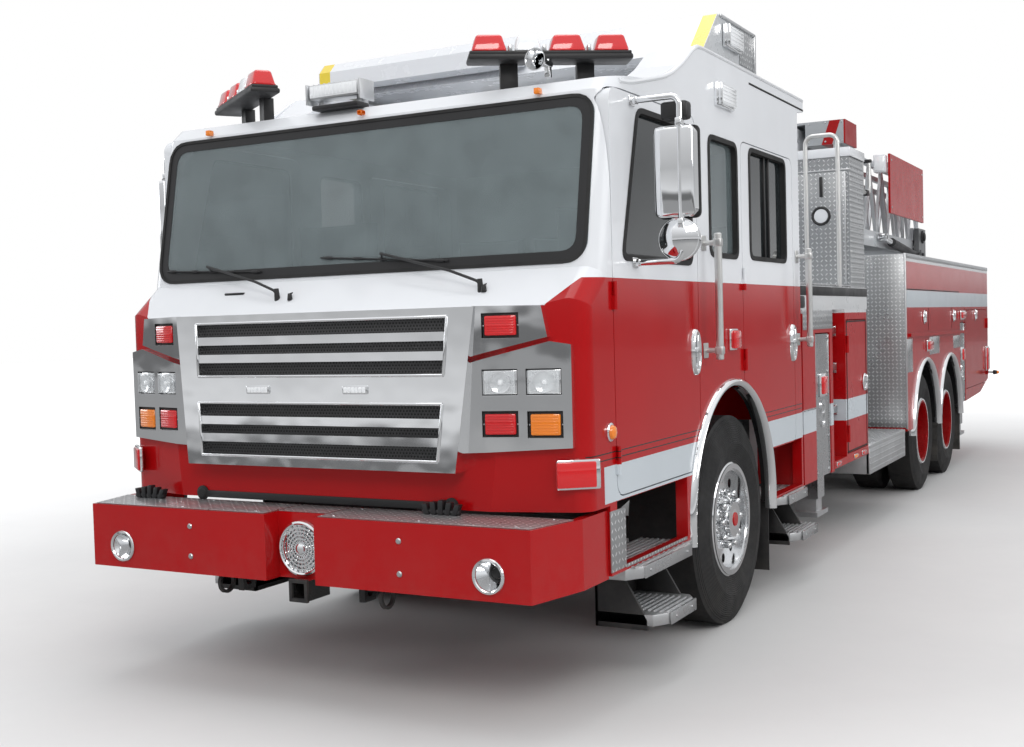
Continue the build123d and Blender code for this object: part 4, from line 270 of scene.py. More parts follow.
def body_zones(t, x, y, z):
    """Striped red sides, a bare metal top and bed, and black wheel housings."""
    ax = t.off_middle(x)
    stripe = t.mul(t.over(ax, 1.20), t.band(z, 1.698, 1.850))
    color = t.mix(t.over(z, 2.10), t.mix(stripe, RED, STRIPE), BARE_METAL)
    color = t.mix(t.mul(t.under(ax, 0.75), t.over(z, 1.1)), color, DULL_PLATE)
    for _, station in REAR_AXLES:
        color = t.mix(round_middle(t, y, z, station, REAR_ARCH_Z, 642.5), color, BLACK)
    return color


def module_zones(t, x, y, z):
    """Bare metal with striped red doors and the deck's black edge."""
    red = t.mul(t.over(t.off_middle(x), 0.95), t.mul(t.under(t.station(y), 3.13), t.under(z, 1.665)))
    color = t.mix(red, (0.60, 0.61, 0.62), RED)
    color = t.mix(t.mul(red, t.band(z, 0.897, 1.048)), color, STRIPE)
    return t.mix(t.band(z, 1.785, 1.845), color, SEAM)


def ladder_zones(t, x, y, z):
    """Bare aluminium; the elbow housing has red sides and a slanting stripe on its grey front."""
    ax = t.off_middle(x)
    housing = t.mul(t.over(z, 3.225), t.under(t.station(y), 5.62))
    stripe = t.band(t.sub(ax, t.mul(t.sub(z, 3.23), 0.35)), 0.42, 0.52)
    red = t.mul(housing, t.math("MAXIMUM", t.over(ax, 0.625), stripe))
    return t.mix(red, t.mix(housing, (0.60, 0.62, 0.64), (0.42, 0.44, 0.46)), RED)


def basket_zones(t, x, y, z):
    """White, with a bright metal side and a yellow band down the front's outer edges."""
    ax = t.off_middle(x)
    tape = t.mul(t.band(ax, 1.118, 1.196), t.under(y, FRONT + 0.02))
    return t.mix(t.over(ax, 1.1965), t.mix(tape, WHITE, (0.80, 0.62, 0.05)), (0.50, 0.52, 0.54))


def rim_zones(station):
    """Polished aluminium, painted red inside the flange."""
    def build(t, x, y, z):
        inside = round_middle(t, y, z, station, REAR_HUB_Z, 287)
        return t.mix(inside, (0.80, 0.81, 0.82), (0.38, 0.004, 0.006))
    return build


def bumper_zones(t, x, y, z):
    return t.mix(t.under(z, 0.5635), RED, BLACK)


def sign_zones(t, x, y, z):
    return t.mix(t.over(t.off_middle(x), 0.8365), BARE_METAL, RED)


def tread_painted_glints(t, x, y, z):
    """Lugs painted bright on the plate's own grey: a painted highlight standing for the glints on the
    raised bars.
    """
    return t.mix(lugs(t, x, y, z), DULL_PLATE, (0.90, 0.91, 0.92))


def table_zones(t, x, y, z):
    # below the plate's top: the tread plate, its lugs carrying their painted highlight
    return t.mix(t.over(z, TABLE_TOP), tread_painted_glints(t, x, y, z), (0.16, 0.165, 0.17))


def mesh_painted_shade_holes(t, x, y, z):
    # the holes are painted near-black as painted shade; the flat plate has no real openings
    return t.mix(t.over(mesh_holes(t, x, y, z), 0.125), (0.003, 0.003, 0.003), (0.05, 0.05, 0.052))


M = {
    "cab": surface("cab_paint", RED, 0.16, coat=0.2, zones=cab_zones, bump=0.015, dirt=0.2, spec=0.25),
    "red": surface("red_paint", RED, 0.16, coat=0.2, bump=0.015, dirt=0.25, spec=0.25),
    "body": surface("body_paint", RED, 0.18, coat=0.2, zones=body_zones, bump=0.015, dirt=0.3, spec=0.25),
    "module": surface("module_paint", RED, 0.3, coat=0.2, zones=module_zones, bump=0.02, dirt=0.3,
                      spec=0.25),
    "bumper": surface("bumper_paint", RED, 0.16, coat=0.2, zones=bumper_zones, bump=0.015, spec=0.25),
    "sign": surface("sign_paint", RED, 0.25, coat=0.1, zones=sign_zones, bump=0.02, spec=0.2),
    "white": surface("white_paint", WHITE, 0.2, coat=1.0, bump=0.015, vary=0.03),
    "basket": surface("basket_paint", WHITE, 0.25, coat=0.5, zones=basket_zones, bump=0.02, vary=0.04),
    "black": surface("black_metal", (0.016, 0.016, 0.017), 0.5, bump=0.08, vary=0.2, dirt=0.6),
    "plastic": surface("black_plastic", BLACK, 0.42, bump=0.12, grain=420, vary=0.15),
    "iron": surface("cast_iron_black", (0.03, 0.03, 0.032), 0.65, metal=0.4, bump=0.3, grain=240,
                    dirt=0.9),
    "chrome": surface("chrome_plate", (0.90, 0.91, 0.92), 0.055, metal=1.0, bump=0.008, vary=0.03,
                      dirt=0.12, height=(ripples, 0.35, 0.012)),
    "satin": surface("satin_rail", (0.66, 0.66, 0.65), 0.36, metal=0.85, bump=0.04, dirt=0.15),
    "steel": surface("brushed_stainless", ALU, 0.26, metal=1.0, bump=0.05, grain=90, dirt=0.2),
    "alu": surface("plain_aluminium", ALU, 0.34, metal=0.9, bump=0.06, vary=0.08, dirt=0.35,
                   wear=(0.25, (0.45, 0.45, 0.45))),
    "ladder": surface("ladder_aluminium", ALU, 0.38, metal=0.45, zones=ladder_zones, bump=0.06, vary=0.08),
    "tread": surface("tread_plate", ALU, 0.30, metal=0.75, zones=tread_painted_glints, height=(lugs, 1.0, 0.005),
                     vary=0.08, dirt=0.3, dirt_top=1.2),
    "table": surface("turntable_plate", ALU, 0.34, metal=0.5, zones=table_zones, bump=0.05,
                     height=(table_lugs, 1.0, 0.005)),
    "mesh": surface("grille_mesh", SEAM, 0.4, zones=mesh_painted_shade_holes, bump=0.05,
                    height=(mesh_wires, 0.7, 0.003)),
    "rim": surface("polished_rim", (0.80, 0.81, 0.82), 0.12, metal=1.0, bump=0.02, vary=0.05, dirt=0.3),
    "tyre": surface("front_tyre_rubber", TYRE, 0.72, bump=0.25, vary=0.25, dirt=0.16,
                    height=(tyre_blocks(0, FRONT_HUB_Z, 62, 0.545), 1.0, 0.012)),
    "rubber": surface("black_rubber", (0.014, 0.014, 0.014), 0.7, bump=0.15, vary=0.2, dirt=0.6),
    "cloth": surface("dark_cloth", (0.035, 0.036, 0.040), 0.85, bump=0.6, grain=900, vary=0.2),
    "dash": surface("dash_vinyl", (0.10, 0.105, 0.11), 0.6, bump=0.3, grain=300, vary=0.1),
    "red_lens": surface("red_lens", (0.55, 0.005, 0.008), 0.08, coat=1.0, bump=0.02, emit=0.12,
                        vary=0.1),
    "amber_lens": surface("amber_lens", (0.75, 0.20, 0.01), 0.08, coat=1.0, bump=0.02, emit=0.15,
                          vary=0.1),
    "clear_lens": surface("clear_lens", (0.80, 0.82, 0.84), 0.06, coat=1.0, bump=0.02, emit=0.05,
                          vary=0.05),
    "reflector": surface("reflector", (0.85, 0.86, 0.87), 0.12, metal=1.0, bump=0.02),
    "mirror": surface("mirror_glass", (0.75, 0.78, 0.80), 0.02, metal=1.0, bump=0.0, vary=0.02, dirt=0.05),
    "glass": glass("tinted_glass", (0.17, 0.21, 0.22), 0.55),
    "side_glass": glass("dark_side_glass", (0.015, 0.02, 0.022), 0.86),
    "lens_glass": glass("lamp_glass", (0.75, 0.78, 0.80), 0.28),
}
for axle, station in REAR_AXLES:
    M[f"rear_rim_{axle}"] = surface(f"rear_rim_{axle}", ALU, 0.2, metal=0.35, bump=0.02,
                                    zones=rim_zones(station), dirt=0.3)
    M[f"rear_tyre_{axle}"] = surface(f"rear_tyre_rubber_{axle}", TYRE, 0.72, bump=0.25, vary=0.25,
                                     height=(tyre_blocks(station, REAR_HUB_Z, 60, 0.528), 1.0, 0.012),
                                     dirt=0.16)

# ------------------------------------------------------------------ making pieces
new = bmesh.new


def placed(name, data):
    """A new object in the scene."""
    obj = bpy.data.objects.new(name, data)
    bpy.context.scene.collection.objects.link(obj)
    return obj


def verts_of(geom):
    return [g for g in geom if isinstance(g, bmesh.types.BMVert)]


def done(bm, name, material, body="chassis", replaces=None, smooth=35.0, both=False):
    """Turns a bmesh into a finished object that rides on its body; both adds its mirror image."""
    if both:
        copy = bmesh.ops.duplicate(bm, geom=bm.verts[:] + bm.edges[:] + bm.faces[:])["geom"]
        bmesh.ops.scale(bm, vec=(-1, 1, 1), verts=verts_of(copy))
        bmesh.ops.reverse_faces(bm, faces=[g for g in copy if isinstance(g, bmesh.types.BMFace)])
    bmesh.ops.recalc_face_normals(bm, faces=bm.faces[:])
    mesh = bpy.data.meshes.new(name)
    bm.to_mesh(mesh)
    bm.free()
    mesh.shade_smooth()
    mesh.set_sharp_from_angle(angle=math.radians(smooth))
    mesh.materials.append(M[material])
    obj = placed(name, mesh)
    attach(obj, body)
    if replaces:
        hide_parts(replaces)
    return obj


def bevel(bm, edges, width, segments=2):
    if width > 0 and edges:
        bmesh.ops.bevel(bm, geom=edges, offset=width / 1000, segments=segments, profile=0.5,
                        affect="EDGES", material=-1, clamp_overlap=True)


def edges_at(verts):
    return list(dict.fromkeys(e for v in verts for e in v.link_edges))


def box(bm, x, s, z, round_=2.0, turn=None, segments=2):
    """A rounded box between x, station and z limits in millimetres; turn is a matrix about its middle."""
    lo, hi = P(min(x), min(s), min(z)), P(max(x), max(s), max(z))
    middle = (lo + hi) / 2
    matrix = Matrix.Translation(middle) @ (turn.to_4x4() if turn else Matrix()) @ Matrix.Diagonal(
        (*(hi - lo), 1))
    bevel(bm, edges_at(bmesh.ops.create_cube(bm, size=1.0, matrix=matrix)["verts"]), round_, segments)


def rod(bm, a, b, r, r2=None, segments=20, round_=0.6):
    """A round bar or cone from a to b, radii in millimetres."""
    line = b - a
    matrix = Matrix.Translation((a + b) / 2) @ line.to_track_quat("Z", "Y").to_matrix().to_4x4()
    verts = bmesh.ops.create_cone(bm, cap_ends=True, cap_tris=False, segments=segments, radius1=r / 1000,
                                  radius2=(r if r2 is None else r2) / 1000, depth=line.length,
                                  matrix=matrix)["verts"]
    bevel(bm, [e for e in edges_at(verts) if len(e.link_faces) == 2
               and any(len(f.verts) > 4 for f in e.link_faces)], round_)


def lathe(bm, centre, axis, profile, segments=48, closed=True, start=0.0, sweep=2 * math.pi):
    """Spins a profile of (radius, distance along the axis) in millimetres."""
    axis = axis.normalized()
    side = axis.orthogonal().normalized() if abs(axis.x) < 0.9 else Vector((0, 0, 1))
    side = Matrix.Rotation(start, 3, axis) @ side
    verts = [bmesh.ops.create_vert(bm, co=centre + side * (r / 1000) + axis * (h / 1000))["vert"][0]
             for r, h in profile]
    edges = [bm.edges.new((a, b)) for a, b in zip(verts, verts[1:])]
    if closed:
        edges.append(bm.edges.new((verts[-1], verts[0])))
    full = abs(sweep - 2 * math.pi) < 1e-6
    ends = bmesh.ops.spin(bm, geom=verts + edges, cent=centre, axis=axis, dvec=(0, 0, 0), angle=sweep,
                          steps=segments, use_merge=full, use_normal_flip=False, use_duplicate=False)
    if not full and closed:
        bmesh.ops.contextual_create(bm, geom=edges)
        bmesh.ops.contextual_create(bm, geom=[g for g in ends["geom_last"]
                                              if isinstance(g, bmesh.types.BMEdge)])
    bmesh.ops.remove_doubles(bm, verts=bm.verts[:], dist=1e-6)


def prism(bm, points, push, round_=2.0):
    """An outline of points pushed along a vector, its edges rounded."""
    verts = [bmesh.ops.create_vert(bm, co=p)["vert"][0] for p in points]
    face = bm.faces.new(verts)
    out = bmesh.ops.extrude_face_region(bm, geom=[face], use_keep_orig=True)["geom"]
    moved = verts_of(out)
    bmesh.ops.translate(bm, vec=push, verts=moved)
    bevel(bm, edges_at(verts + moved), round_)


def soften(points, cut, closed=False):
    """The line through points with its corners rounded."""
    path = []
    for index, p in enumerate(points):
        if not closed and index in (0, len(points) - 1):
            path.append(p)
            continue
        a, b = points[index - 1], points[(index + 1) % len(points)]
        start = p + (a - p).normalized() * min(cut, (a - p).length / 2.2)
        end = p + (b - p).normalized() * min(cut, (b - p).length / 2.2)
        path += [start.lerp(p, t).lerp(p.lerp(end, t), t) for t in (0, 0.2, 0.4, 0.6, 0.8, 1)]
    return path


def tube(name, points, r, material, body, bend=0.05, both=False):
    """A bent round tube through points: a curve with rounded corners, turned into a mesh."""
    path = soften(points, bend)
    curve = bpy.data.curves.new(name, "CURVE")
    curve.dimensions = "3D"
    curve.bevel_depth = r / 1000
    curve.bevel_resolution = 3
    curve.use_fill_caps = True
    spline = curve.splines.new("POLY")
    spline.points.add(len(path) - 1)
    for point, place in zip(spline.points, path):
        point.co = (*place, 1)
    holder = placed(name + "_path", curve)
    mesh = bpy.data.meshes.new_from_object(holder)
    bpy.data.objects.remove(holder)
    bm = new()
    bm.from_mesh(mesh)
    bpy.data.meshes.remove(mesh)
    return done(bm, name, material, body, both=both)


def grow(outline, d):
    """An anticlockwise outline of 2D points moved out by d."""
    out = []
    for index, b in enumerate(outline):
        b, a, c = Vector(b), Vector(outline[index - 1]), Vector(outline[(index + 1) % len(outline)])
        u, v = (b - a).normalized(), (c - b).normalized()
        nu, nv = Vector((u.y, -u.x)), Vector((v.y, -v.x))
        out.append(b + (nu + nv) * (d / (1 + nu.dot(nv))))
    return out


def ring(bm, outer, inner, push):
    """A flat frame between two loops of points, thick by push."""
    edges = []
    for loop in (outer, inner):
        verts = [bmesh.ops.create_vert(bm, co=p)["vert"][0] for p in loop]
        edges += [bm.edges.new((a, b)) for a, b in zip(verts, verts[1:] + verts[:1])]
    faces = bmesh.ops.bridge_loops(bm, edges=edges)["faces"]
    out = bmesh.ops.extrude_face_region(bm, geom=faces, use_keep_orig=True)["geom"]
    bmesh.ops.translate(bm, vec=push, verts=verts_of(out))


def bolt(bm, place, axis, r=9.0, high=7.0):
    """A hexagon head on its washer."""
    rod(bm, place, place + axis * 0.002, r * 1.35, round_=0.3)
    rod(bm, place + axis * 0.0015, place + axis * (high / 1000), r, segments=6, round_=0.8)


def dome(bm, place, axis, r=9.0, high=6.0):
    """A round head."""
    lathe(bm, place, axis, [(0, 0), (r, 0), (r, high * 0.3), (r * 0.75, high * 0.8), (0, high)], 16,
          closed=False)


def rivets(bm, xs, stations, heights, axis, r=9.0, high=5.0):
    """Round heads at each of these x, stations and heights."""
    for place in product(xs, stations, heights):
        dome(bm, P(*place), axis, r, high)


def boxes(name, material, *limits, **made):
    """A piece of several boxes, each given by its x, stations, heights and rounding."""
    bm = new()
    for x, s, z, round_ in limits:
        box(bm, x, s, z, round_)
    return done(bm, name, material, **made)


def ribs(bm, x, s, low, high, count, half=2, round_=1, turn=None):
    """Level ribs on a lens, their middles spread evenly from low to high, half as thick each way."""
    for index in range(count):
        z = low + index * (high - low) / (count - 1)
        box(bm, x, s, (z - half, z + half), round_, turn)


def pull(bm, foot, x, s, low, high, r):
    """An upright bar at x, on two short posts that start at foot."""
    rod(bm, P(x, s, low), P(x, s, high), r)
    for z in (low + 4, high - 4):
        rod(bm, P(foot, s, z), P(x, s, z), r - 1)


# ------------------------------------------------------------------ finishes of the CAD's own pieces
FINISH = {
    "frame_rails": "black", "engine_block": "iron", "front_axle": "iron", "rear_axles": "iron",
    "cab_shell": "cab", "cab_glass": "glass", "cab_interior": "dash", "grille": "chrome",
    "lamp_bezels": "chrome", "front_bumper": "bumper", "bumper_siren": "chrome", "steps": "alu",
    "grab_rails": "satin", "roof_lights": "black", "pump_module": "module", "deck_lockers": "tread",
    "rear_body": "body", "turntable": "table", "ladder_base": "ladder", "sign_boards": "sign",
    "ladder_mid": "alu", "ladder_fly": "ladder", "jib": "white", "basket": "basket",
    "cylinder_barrels": "black", "cylinder_rods": "chrome",
}
for side, _ in SIDES:
    FINISH[f"knuckle_{side}"] = "iron"
    FINISH[f"mirror_{side}"] = "chrome"
    FINISH[f"tyre_front_{side}"] = "tyre"
    FINISH[f"rim_front_{side}"] = "rim"
    for axle, _ in REAR_AXLES:
        FINISH[f"tyres_rear_{axle}_{side}"] = f"rear_tyre_{axle}"
        FINISH[f"rims_rear_{axle}_{side}"] = f"rear_rim_{axle}"
    for door in ("front_door", "crew_door"):
        FINISH[f"{door}_{side}"] = "cab"
    FINISH[f"pump_door_{side}"] = "module"
    FINISH[f"locker_door_{side}"] = "body"
    for place in ("front", "rear"):
        FINISH[f"outrigger_{place}_{side}"] = "steel"
        FINISH[f"jack_{place}_{side}"] = "alu"

for name, finish in FINISH.items():
    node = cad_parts[name]
    node.data.materials.clear()
    node.data.materials.append(M[finish])

# ------------------------------------------------------------------ floor, light and camera
bm = new()
bmesh.ops.create_grid(bm, x_segments=2, y_segments=2, size=60.0)
floor_mesh = bpy.data.meshes.new("floor")
bm.to_mesh(floor_mesh)
bm.free()
floor = placed("floor", floor_mesh)
t = Tree(bpy.data.materials.new("pale_floor"))
ray = t.node("ShaderNodeLightPath")
pale = t.mix(t.ramp(t.noise(0.4, 5), 0.3, 0.7), (0.60, 0.60, 0.60), (0.66, 0.66, 0.655))
x, y, _ = t.xyz()
far = t.math("SQRT", t.add(t.square(x), t.square(t.mul(y, 0.7))))
floor_mesh.materials.append(t.finish(
    Base_Color=t.mix(ray.outputs["Is Glossy Ray"], pale, (0.30, 0.30, 0.30)),
    Roughness=t.ramp(t.noise(8.0, 4), 0.3, 0.7, 0.75, 0.9), Normal=t.bump(t.noise(220.0), 0.15, 0.002),
    Emission_Color=(1, 1, 1, 1),
    Emission_Strength=t.mul(t.ramp(far, 4.0, 11.0, 0.0, 0.7), ray.outputs["Is Camera Ray"])))

SKY_LEVELS = ((0.0, 0.14), (0.03, 0.72), (0.12, 0.46), (0.60, 0.92))    # height and brightness
t = Tree(bpy.data.worlds.new("soft_daylight"))
shade = t.node("ShaderNodeValToRGB")
t.put(shade.inputs[0], t.xyz(t.coord["Generated"])[2])
for index, (high, level) in enumerate(SKY_LEVELS):
    stop = shade.color_ramp.elements[index] if index < 2 else shade.color_ramp.elements.new(high)
    stop.position, stop.color = high, (level, level * 1.01, level * 1.03, 1)
seen = t.node("ShaderNodeLightPath").outputs["Is Camera Ray"]
bpy.context.scene.world = t.finish(Color=t.mix(seen, shade.outputs[0], (1, 1, 1)), Strength=1.0)


def area_light(name, place, target, size, power, color=(1, 1, 1)):
    data = bpy.data.lights.new(name, "AREA")
    data.shape, data.size, data.size_y = "RECTANGLE", size[0], size[1]
    data.energy, data.color = power, color
    obj = placed(name, data)
    obj.location = place
    obj.rotation_euler = (Vector(target) - Vector(place)).to_track_quat("-Z", "Y").to_euler()


area_light("key", (6.0, -14.0, 9.0), (0, -4.5, 1.2), (6, 4), 460, (1.0, 0.98, 0.95))
area_light("side", (13.0, -2.0, 6.0), (1.0, 0.0, 1.2), (10, 4), 330)
area_light("fill", (-12.5, -6.5, 4.5), (0, -4.0, 1.4), (5, 4), 230, (0.95, 0.97, 1.0))
area_light("top", (0.0, -2.0, 12.0), (0, -2.0, 0), (6, 14), 420)

camera = placed("camera", bpy.data.cameras.new("camera"))
camera.data.sensor_width, camera.data.lens = 36.0, 43.58
camera.data.clip_end = 200
yaw, pitch, roll = (math.radians(a) for a in (28.594, 2.3035, 1.5969))
ahead = Vector((-math.sin(yaw) * math.cos(pitch), math.cos(yaw) * math.cos(pitch), -math.sin(pitch)))
right = Vector((math.cos(yaw), math.sin(yaw), 0))
down = ahead.cross(right)
rows = (right * math.cos(roll) + down * math.sin(roll), -(down * math.cos(roll) - right * math.sin(roll)),
        -ahead)
camera.matrix_world = Matrix.Translation((3.391, -10.112, 1.653)) @ Matrix(rows).transposed().to_4x4()
bpy.context.scene.camera = camera
bpy.context.scene.view_settings.view_transform = "Standard"

# ------------------------------------------------------------------ grille, lamps and markers on the front
GRILLE_OPENINGS = ((689, 672, 1690, 1446), (668, 645, 1325, 1085))  # half widths, top and bottom
GRILLE_RAKE = 43 / 688
SWEEP_SLOPE = 105 / 407     # stations gained per millimetre out along the swept corner
SWEEP = math.atan(SWEEP_SLOPE)
SWEPT_LEFT = Matrix.Rotation(SWEEP, 3, "Z")
FORWARD = Vector((math.sin(SWEEP), -math.cos(SWEEP), 0))    # out of the swept corner's face


def swept(x, ahead):
    """Station on the swept front corner at x, this far ahead of its surface."""
    return -1985 - ahead + SWEEP_SLOPE * max(x - 850, 0)


def grille_face(x, z):
    return P(x, -(2022 + (1728 - z) * GRILLE_RAKE) - 1, z)


# a flat plate in each grille opening, its holes only painted dark as painted shade
bm = new()
for top, bottom, high, low in GRILLE_OPENINGS:
    step = (high - low) / 3
    for z0, z1 in ((low, low + step - 19), (low + step + 19, high - step - 19), (high - step + 19, high)):
        x0, x1 = (bottom + (top - bottom) * (z - low) / (high - low) for z in (z0, z1))
        prism(bm, [P(-x0, -1997.5, z0), P(x0, -1997.5, z0), P(x1, -1997.5, z1), P(-x1, -1997.5, z1)],
              Y * -0.002, 0)
done(bm, "grille_mesh", "mesh")

bm = new()
for top, bottom, high, low in GRILLE_OPENINGS:
    for a, b in (((-top, high), (top, high)), ((-bottom, low), (bottom, low)),
                 ((-bottom, low), (-top, high)), ((bottom, low), (top, high))):
        rod(bm, grille_face(*a), grille_face(*b), 7, segments=12)
done(bm, "grille_lips", "chrome")

for index, x in enumerate((-314, 225)):
    boxes(f"grille_flasher_{index + 1}_rim", "chrome", ((x - 66, x + 66), (-2052, -2040), (1366, 1404), 5))
    boxes(f"grille_flasher_{index + 1}_lens", "clear_lens",
          *(((x - 58 + count * 19.6, x - 40 + count * 19.6), (-2055, -2048), (1372, 1398), 3)
            for count in range(6)))

LAMP_KINDS = (      # x and height limits; the headlamps have a reflector and a bulb behind clear glass
    ("warning", 846, 1000, 1594, 1700, "red_lens"),
    ("headlamp_inner", 842, 989, 1358, 1468, None),
    ("headlamp_outer", 1023, 1167, 1358, 1468, None),
    ("flasher", 838, 989, 1186, 1296, "red_lens"),
    ("indicator", 1025, 1170, 1182, 1294, "amber_lens"),
)
for name, x0, x1, z0, z1, lens in LAMP_KINDS:
    xm, half = (x0 + x1) / 2, (x1 - x0) / 2 / math.cos(SWEEP)
    s = swept(xm, 16)

    def lamp_box(bm, inset, near, far, round_):
        box(bm, (xm - half + inset, xm + half - inset), (s - far, s - near),
            (z0 + inset, z1 - inset), round_, SWEPT_LEFT)

    bm = new()
    lamp_box(bm, 1, -1, 5, 2)
    done(bm, f"{name}_gasket", "rubber", both=True)
    if lens:
        bm = new()
        lamp_box(bm, 12, 2, 17, 7)
        ribs(bm, (xm - half + 20, xm + half - 20), (s - 19, s - 14), z0 + 22, z1 - 22, 7, 2.4,
             turn=SWEPT_LEFT)
        done(bm, f"{name}_lens", lens, both=True)
        bm = new()
        for sx in (-1, 1):
            place = P(xm + sx * (half - 6) * math.cos(SWEEP), s - 6 + sx * (half - 6) * math.sin(SWEEP),
                      (z0 + z1) / 2)
            dome(bm, place, FORWARD, 4, 3)
        done(bm, f"{name}_screws", "steel", both=True)
        continue
    bm = new()
    centre = P(xm, s - 3, (z0 + z1) / 2)
    lamp_box(bm, 6, 2, 6, 3)
    lathe(bm, centre + FORWARD * 0.002, FORWARD, [(0, 1), (16, 1), (38, 7), (46, 14), (44, 14.5), (35, 9),
                                                  (14, 4), (0, 4)], 36, closed=False)
    done(bm, f"{name}_reflector", "reflector", both=True)
    bm = new()
    lathe(bm, centre + FORWARD * 0.004, FORWARD, [(0, 16), (9, 14), (13, 8), (13, 0), (0, 0)], 28,
          closed=False)
    for count in range(4):
        x = xm - half * 0.72 + count * half * 0.48
        rod(bm, P(x, swept(x, 21), z0 + 12), P(x, swept(x, 21), z1 - 12), 1.3, segments=8)
    done(bm, f"{name}_bulb", "clear_lens", both=True)
    bm = new()
    lamp_box(bm, 7, 17, 22, 3)
    done(bm, f"{name}_glass", "lens_glass", both=True)

# red marker on each front corner, amber and red markers along the sides
corner_turn = Matrix.Rotation(math.radians(38), 3, "Z")
for name, inset, near, far, finish in (("rim", 0, -14, 6, "chrome"), ("lens", 9, 4, 18, "red_lens")):
    bm = new()
    box(bm, (1124 + inset, 1308 - inset), (-1903 - far, -1903 - near), (970 + inset, 1095 - inset), 8,
        corner_turn)
    if inset:
        ribs(bm, (1140, 1292), (-1904 - far, -1899 - far), 998, 1062, 5, 1.5, 0.8, corner_turn)
    done(bm, f"corner_marker_{name}", finish, both=True)
AMBER_MARKER = P(SIDE, -1668, 1185)
bm = new()
lathe(bm, AMBER_MARKER, X, [(0, 0), (40, 0), (40, 6), (33, 10), (33, 12), (0, 12)], 36, False)
done(bm, "amber_marker_ring", "chrome", both=True)
bm = new()
lathe(bm, AMBER_MARKER, X, [(0, 9), (31, 9), (31, 14), (26, 22), (14, 27), (0, 28)], 36, False)
for r in (10, 18, 25):
    crest = 29 - r * 0.28
    lathe(bm, AMBER_MARKER, X, [(r - 1, 22), (r + 1, 22), (r + 1, crest), (r - 1, crest)], 30)
done(bm, "amber_marker_lens", "amber_lens", both=True)
boxes("side_marker_rim", "chrome", ((1254, 1275), (-112, 12), (1478, 1594), 8), both=True)
bm = new()
box(bm, (1268, 1296), (-102, 2), (1487, 1585), 12)
ribs(bm, (1292, 1298), (-92, -8), 1502.5, 1570.5, 5, 1.5)
done(bm, "side_marker_lens", "red_lens", both=True)

# ------------------------------------------------------------------ bumper
BUMPER_TOP = 856.5
bm = new()
for side in (-1, 1):
    prism(bm, [P(side * x, s, BUMPER_TOP) for x, s in ((146, -2238), (1160, -2238), (1226, -1972),
                                                       (146, -1972))], Z * 0.0035, 1.2)
box(bm, (-133, 133), (-2150, -1972), (BUMPER_TOP, 860), 1.2)
done(bm, "bumper_deck_plate", "tread")
bm = new()
for side in (-1, 1):
    rivets(bm, (side * 564,), (-2250,), (644, 780), -Y, 13, 8)
    for x, s in ((210, -2210), (640, -2210), (1090, -2210), (210, -2000), (640, -2000), (1150, -2000)):
        dome(bm, P(side * x, s, 859.5), Z, 8, 4)
done(bm, "bumper_bolts", "steel")
SIREN_DISH = [(0, 0), (70, 0), (122, 8), (124, 14), (120, 26), (112, 30), (106, 26), (106, 14), (0, 12)]
siren_face = P(0, -2170, 700)
bm = new()
lathe(bm, P(0, -2150, 700), -Y, SIREN_DISH, 72, False)
for r in (28, 44, 60, 76, 92):
    lathe(bm, P(0, -2168, 700), -Y, [(r - 4, 0), (r - 3, 7), (r + 3, 7), (r + 4, 0)], 64)
for count in range(24):
    a = count * math.pi / 12
    spoke = Vector((math.cos(a), 0, math.sin(a)))
    rod(bm, siren_face + spoke * 0.026, siren_face + spoke * 0.108, 2.6, segments=8, round_=0.3)
lathe(bm, siren_face, -Y, [(0, 20), (12, 19), (22, 12), (26, 0), (0, 0)], 40, False)
done(bm, "siren_grille", "chrome", replaces="bumper_siren")
HORN_X, HORN_Z = 983, 665
HORN_LIP = [(64, -4), (70, -3), (73, 3), (70, 8), (62, 9), (58, 4), (60, -2)]
HORN_BELL = [(57, 2), (44, -22), (30, -48), (23, -66), (25, -67), (32, -49), (46, -23), (59, 0)]
for word, g in SIDES:
    bm = new()
    lathe(bm, P(g * HORN_X, -2252, HORN_Z), -Y, HORN_LIP, 56)
    lathe(bm, P(g * HORN_X, -2250, HORN_Z), -Y, HORN_BELL, 56)
    done(bm, f"horn_bell_{word}", "chrome")
    # a black plug deep in each bell: painted shade for the horn's dark throat
    bm = new()
    lathe(bm, P(g * HORN_X, -2182, HORN_Z), -Y, [(0, 0), (22, 0), (22, 4), (8, 9), (0, 10)], 36, False)
    done(bm, f"horn_throat_painted_shade_{word}", "plastic")
# hose clamps on the deck, each with its sprung fingers
for word, x in (("left", 640), ("right", -1010)):
    bm = new()
    box(bm, (x - 85, x + 85), (-1905, -1865), (832, 846), 3)
    for count in range(5):
        finger, lean = x - 66 + count * 33, (count - 2) * 8
        tip, high = finger + lean, 908 - abs(lean)
        prism(bm, [P(finger - 13, -1900, 846), P(finger + 13, -1900, 846), P(tip + 13, -1898, high),
                   P(tip - 11, -1898, high)], Y * 0.034, 4)
    rod(bm, P(x - 90, -1885, 858), P(x + 90, -1885, 858), 11, segments=16)
    bmesh.ops.translate(bm, vec=Vector((0, -0.15, 0.014)), verts=bm.verts[:])
    done(bm, f"hose_clamp_{word}", "plastic")
# tow rings and the receiver's collar below
bm = new()
for side in (-1, 1):
    lathe(bm, P(side * 438, -2160, 522), X, [(38, -8), (52, -8), (52, 8), (38, 8)], 36)
done(bm, "tow_rings", "iron")
boxes("receiver_collar", "iron", *((x, (-2204, -2188), z, 3) for x, z in (
    ((-50, 50), (553, 570)), ((-50, 50), (470, 487)), ((-50, -33), (480, 560)), ((33, 50), (480, 560)))))

# ------------------------------------------------------------------ windscreen, wipers and cowl
def screen(x, z, out=0.0):
    """A point on the raked windscreen at x and height z, this far in front of the glass."""
    return P(x, -1740 + (z - 1885) * 140 / 755 - out * 0.983, z + out * 0.182)


SCREEN_EDGE = [(-1192, 1906), (1192, 1906), (1192, 2619), (-1192, 2619)]
SCREEN_OUT = Vector((0, -0.983, 0.182))


def screen_loop(d, cut, out):
    return soften([screen(p.x, p.y, out) for p in grow(SCREEN_EDGE, d)], cut, True)


